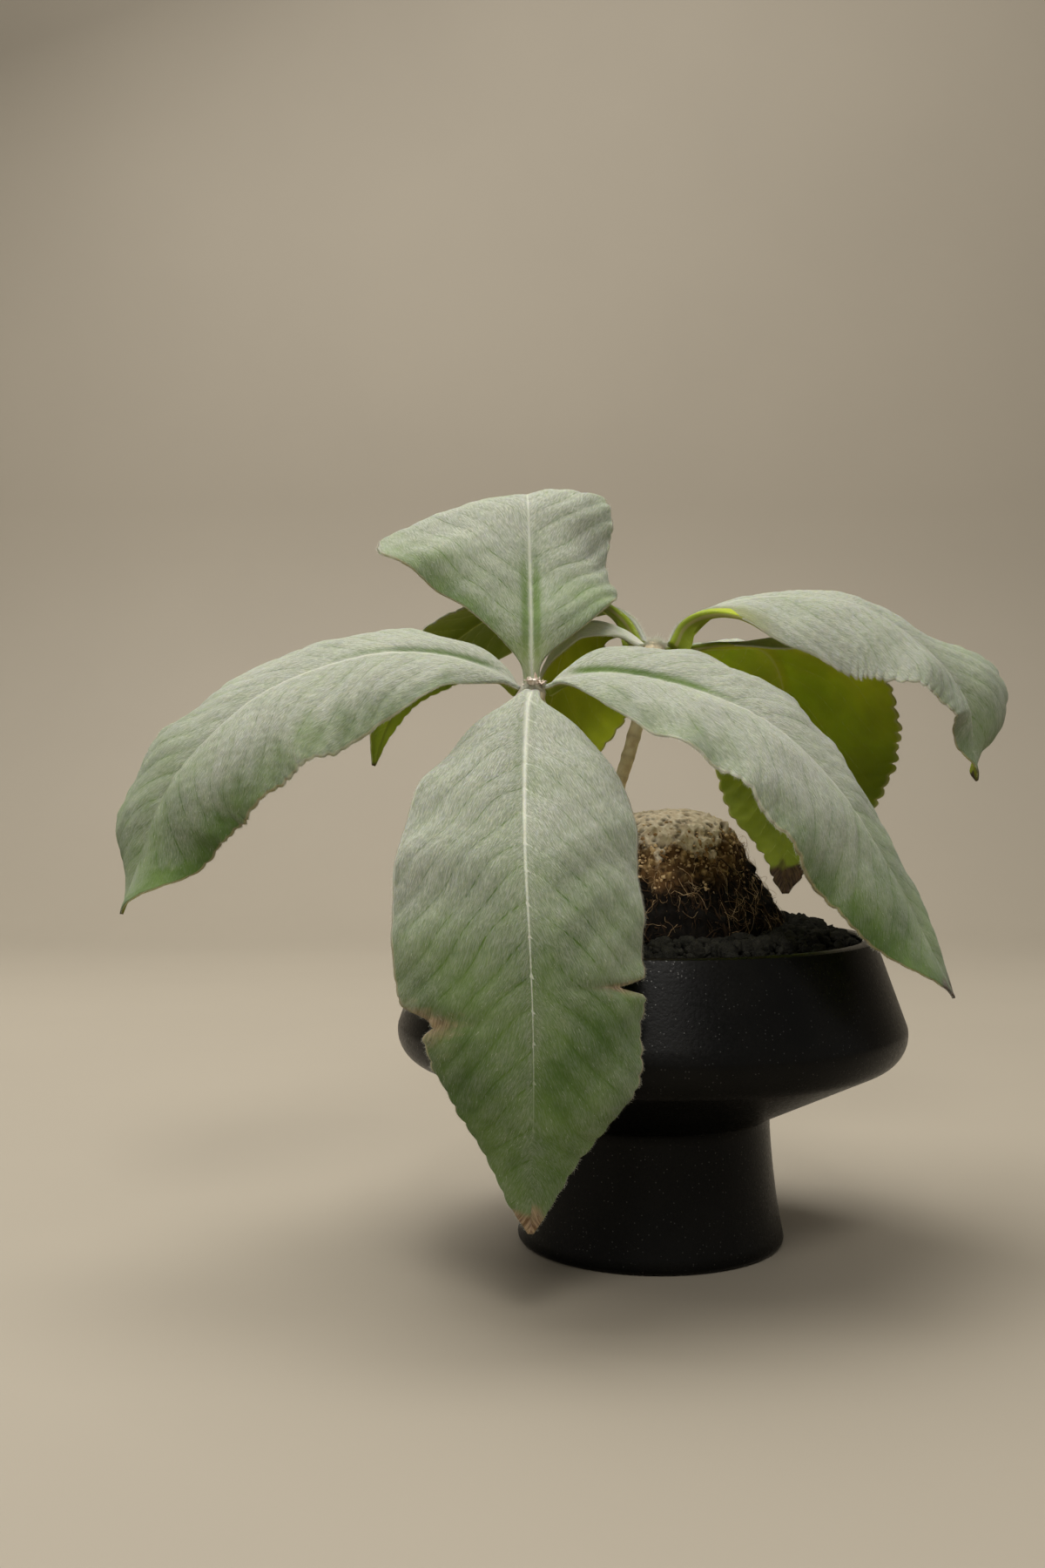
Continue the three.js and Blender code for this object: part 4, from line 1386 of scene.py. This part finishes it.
soilShape = {
    "edgeHeight": 88,
    "mound": 4.5,
    "moundRadius": 50,
    "frontMound": 0.8,
    "gap": 0.5,
    "sides": 200,
    "topRings": 26,
    # How many lumps of each kind, and between which sizes
    "lumps": {"large": (900, 1.2, 3.1), "small": (1700, 0.5, 1.2)},
    "seed": 47,
}
soilColours = {
    "dark": (0.0025, 0.0024, 0.0018),
    "light": (0.026, 0.025, 0.019),
    "grain": (0.04, 0.038, 0.03),
}


def soilLevel(radius, azimuth):
    inner = smooth(potShape["rimRadius"] - potShape["wall"], soilShape["moundRadius"], radius)
    side = soilShape["frontMound"] + (1 - soilShape["frontMound"]) * (0.5 + 0.5 * np.sin(azimuth))
    return soilShape["edgeHeight"] + soilShape["mound"] * inner * side


def soilBody():
    s = soilShape
    azimuth = np.linspace(0, 2 * math.pi, s["sides"] + 1)
    circle = np.stack([np.cos(azimuth), np.sin(azimuth)], axis=1)
    rows = []
    inside = [point for point in reversed(potInside()) if point[1] < s["edgeHeight"] - s["gap"]]
    rows.append(np.column_stack([0 * circle, np.full(len(azimuth), potShape["floor"] + s["gap"])]))
    for radius, height in inside:
        level = height + s["gap"] if radius < potShape["neckRadius"] else height
        rows.append(np.column_stack([circle * (radius - s["gap"]), np.full(len(azimuth), level)]))
    outer = potShape["rimRadius"] - potShape["wall"] + 1 - s["gap"]
    # Where the tuber's side stands at the height of the soil.
    contact = tuberPlace(azimuth, np.full(len(azimuth), 0.1), 0.5)
    for ring in range(s["topRings"] + 1):
        t = ring / s["topRings"]
        x = circle[:, 0] * outer * (1 - t) + contact[:, 0] * t
        y = circle[:, 1] * outer * (1 - t) + contact[:, 1] * t
        z = soilLevel(np.hypot(x, y), azimuth) - 1.0
        z = z + 0.9 * ripple(43, 5, x, y) + 0.5 * ripple(44, 2.6, x, y)
        rows.append(np.column_stack([x, y, z]))
    for height in np.linspace(-0.02, -1, 24):
        rows.append(tuberPlace(azimuth, np.full(len(azimuth), height), 0.5))
    return bentGrid("soil_body", np.stack(rows) * mm)


# Lumps half sunk in the surface. Large ones start as a ball of 56 triangles, small ones as one of 20.
def soilLumps():
    s = soilShape
    draw = np.random.default_rng(s["seed"])
    points, faces = [], []
    wall = potShape["rimRadius"] - potShape["wall"] + 1
    total = 0
    for kind, (count, smallest, largest) in s["lumps"].items():
        deselectAll()
        if kind == "large":
            bpy.ops.mesh.primitive_uv_sphere_add(segments=7, ring_count=5, radius=1)
        else:
            bpy.ops.mesh.primitive_ico_sphere_add(subdivisions=1, radius=1)
        model = bpy.context.active_object
        ball = np.array([corner.co for corner in model.data.vertices])
        sides = [tuple(side.vertices) for side in model.data.polygons]
        bpy.data.objects.remove(model)
        placed = 0
        while placed < count:
            x, y = draw.uniform(-wall, wall, 2)
            radius, azimuth = math.hypot(x, y), math.atan2(y, x)
            size = smallest + (largest - smallest) * draw.uniform(0, 1) ** 1.6
            edge = tuberPlace(azimuth, 0.12)
            outside = radius > wall - size * 1.05 - 0.3
            if outside or math.hypot(edge[0] + 1, edge[1]) + size * 0.4 > radius:
                continue
            turn, _ = np.linalg.qr(draw.normal(size=(3, 3)))
            stretch = draw.uniform(0.6, 1.2, 3)
            knobs = 1 + draw.uniform(-0.17, 0.17, (len(ball), 1))
            level = soilLevel(radius, azimuth) + draw.uniform(-1.2, 0.7)
            points.append((ball * knobs * stretch) @ turn * size + [x, y, level])
            faces += [tuple(corner + total for corner in side) for side in sides]
            total += len(ball)
            placed += 1
    lumps = meshPiece("soil_lumps", np.concatenate(points) * mm, faces)
    pick(lumps)
    bpy.ops.object.mode_set(mode="EDIT")
    bpy.ops.mesh.select_all(action="SELECT")
    bpy.ops.mesh.normals_make_consistent(inside=False)
    bpy.ops.mesh.faces_shade_smooth()
    bpy.ops.object.mode_set(mode="OBJECT")
    return lumps


def makeSoilFinish():
    material, tree, shader = newFinish("blackGrit", {"Roughness": 0.85, "Specular IOR Level": 0.15})
    patches, grains = mottle(tree, 230.0), mottle(tree, 1000.0)
    base = blendColour(tree, patches, soilColours["dark"], soilColours["light"])
    base = blendColour(tree, times(tree, grains, 0.35), base, soilColours["grain"])
    join(tree, base, shader.inputs["Base Color"])
    bump(tree, shader, grains, 0.9, 0.0004)
    return material


soilFinish = makeSoilFinish()
hand(soilBody(), soilFinish, "soil_grit", "soil")
hand(soilLumps(), soilFinish, "soil_grit")
print("soil done")


# The stems

stemShapes = {
    "stem_front": {
        "root": (-12, -5, 121),
        "whorl": (-35, -25, 161.3),
        "bow": (-3, 1, 2),
        "tufted": True,
    },
    "stem_back": {
        "root": (-13, 5, 122),
        "whorl": (2.4, 8, 176.6),
        "bow": (1, 0, 0),
        "tufted": False,
    },
}
stemBuild = {
    "radius": 2.0,
    "knob": 3.3,
    "sides": 32,
    "rings": 90,
    "tuftShift": (0.4, -1.2, 0.6),
    "bracts": 18,
    "bractLength": 3.4,
    "downHairs": 1500,
    "downLength": (0.6, 1.9),
}
stemColours = {
    # The bark colours are lighter than the stems' own: painted light for stems that stand in the
    # leaves' shade.
    "bark": ((0.68, 0.54, 0.34), (0.94, 0.84, 0.62)),
    "patch": (0.62, 0.54, 0.3),
    "scar": (0.22, 0.14, 0.075),
    "bract": ((0.5, 0.38, 0.3), (0.9, 0.82, 0.73)),
}


def stemSkin(name, shape):
    b = stemBuild
    root, whorl = np.array(shape["root"], float), np.array(shape["whorl"], float)
    middle = (root + whorl) / 2 + shape["bow"]
    knots = np.linspace(0, 2, b["rings"] + 1)
    line = splinePoint(np.array([root, middle, whorl]), np.minimum(knots, 1.999))
    line[-1] = whorl
    forward = unit(np.gradient(line, axis=0))
    side = unit(np.cross(forward, [0.3, -0.9, 0.1]))
    other = np.cross(forward, side)
    turns = np.linspace(0, 2 * math.pi, b["sides"] + 1)
    t = (knots / 2)[:, None]
    a = np.broadcast_to(turns[None], (len(knots), len(turns)))
    ringed = 0.16 * np.exp(-(((t * 9) % 1 - 0.5) / 0.12) ** 2)
    swell = (b["knob"] - b["radius"]) * np.exp(-(((t - 0.985) / 0.05) ** 2))
    flare = 0.9 * np.exp(-((t / 0.05) ** 2))
    wrinkle = 0.13 * ripple(61, 1.6, np.cos(a) * 2, np.sin(a) * 2, t * 20)
    wrinkle = wrinkle + 0.1 * ripple(62, 4, a, t * 50)
    radius = b["radius"] + ringed + swell + flare * 0.6 + wrinkle
    cap = smooth(1.0, 0.97, t)
    radius = radius * np.sqrt(np.clip(1 - (1 - cap) ** 2, 0, 1))
    points = line[:, None] + side[:, None] * (np.cos(a) * radius)[..., None]
    points = points + other[:, None] * (np.sin(a) * radius)[..., None]
    points = points + forward[:, None] * (2.4 * smooth(0.97, 1, t) + 0 * a)[..., None]
    return bentGrid(name + "_bark", points * mm, {"ringScar": ringed / 0.16 + 0 * a})


# Dried bracts left from an old flower: bent papery chips that lean out of the whorl.
def driedTuft(name, centre):
    draw = np.random.default_rng(71)
    chips = []
    for index in range(stemBuild["bracts"]):
        turn = index * 2.4 + draw.uniform(-0.3, 0.3)
        lean = draw.uniform(0.5, 1.45)
        length = stemBuild["bractLength"] * draw.uniform(0.45, 0.85)
        width = draw.uniform(0.6, 1.2)
        away = np.array([math.cos(turn), math.sin(turn), 0])
        ahead = away * math.sin(lean) + [0, 0, math.cos(lean)]
        sideways = np.array([-math.sin(turn), math.cos(turn), 0])
        facing = np.cross(ahead, sideways)
        t = np.linspace(0, 1, 9)[:, None]
        a = np.linspace(0, 2 * math.pi, 11)[None]
        narrow = np.sqrt(np.clip(t * (1.03 - t) * 4, 0.01, 1)) * (1 - 0.35 * t)
        curl = (draw.uniform(-0.6, 0.6) * t**2 + 0.16 * np.sin(t * 9 + index)) * length
        twist = a + draw.uniform(-1, 1) * t * 1.5
        start = np.array(centre) + away * 1.1 + [0, 0, stemBuild["knob"] * 0.35]
        points = start + ahead * (t * length)[..., None] + facing * (curl + 0 * a)[..., None]
        points = points + sideways * (np.cos(twist) * width * narrow)[..., None]
        points = points + facing * (np.sin(twist) * width * 0.35 * narrow)[..., None]
        chips.append(bentGrid(f"{name}_{index}", points * mm))
    pick(*chips)
    bpy.ops.object.join()
    tuft = bpy.context.active_object
    tuft.name = name
    return tuft


# Woolly down round the middle of each whorl, where the young leaves would come.
def whorlDown(name, centre):
    draw = np.random.default_rng(int(centre[2] * 10))
    count = stemBuild["downHairs"]
    outward = unit(draw.normal(size=(count, 3)) * [1, 1, 0.6] + [0, 0, 0.5])
    roots = np.array(centre) + outward * [2.6, 2.6, 2.0]
    heading = unit(outward + draw.normal(0, 0.8, (count, 3)))
    length = draw.uniform(*stemBuild["downLength"], count)
    bend = draw.normal(0, 0.45, (count, 3))
    radius = draw.uniform(0.03, 0.055, count)
    return spikeMesh(name, roots * mm, heading, length * mm, radius * mm, bend)


def makeStemFinish():
    material, tree, shader = newFinish("dryStem", {"Roughness": 0.85})
    patches, broad = mottle(tree, 300.0), mottle(tree, 90.0)
    colour = blendColour(tree, patches, *stemColours["bark"])
    colour = blendColour(tree, times(tree, broad, 0.35), colour, stemColours["patch"])
    scar = times(tree, attribute(tree, "ringScar"), 0.28)
    colour = blendColour(tree, scar, colour, stemColours["scar"])
    join(tree, colour, shader.inputs["Base Color"])
    bump(tree, shader, patches, 0.6, 0.0003)
    return material


def makeBractFinish():
    material, tree, shader = newFinish("driedBract", {"Roughness": 0.8})
    patches = mottle(tree, 420.0)
    join(tree, blendColour(tree, patches, *stemColours["bract"]), shader.inputs["Base Color"])
    bump(tree, shader, patches, 0.5, 0.0002)
    return material


stemFinish = makeStemFinish()
for name, shape in stemShapes.items():
    hand(stemSkin(name, shape), stemFinish, "stem_bark", name)
    hand(whorlDown(name + "_down", shape["whorl"]), hairFinish, "stem_bark")
    if shape["tufted"]:
        tuft = driedTuft("dried_tuft", np.array(shape["whorl"]) + stemBuild["tuftShift"])
        hand(tuft, makeBractFinish(), "stem_bark")
print("stems done")
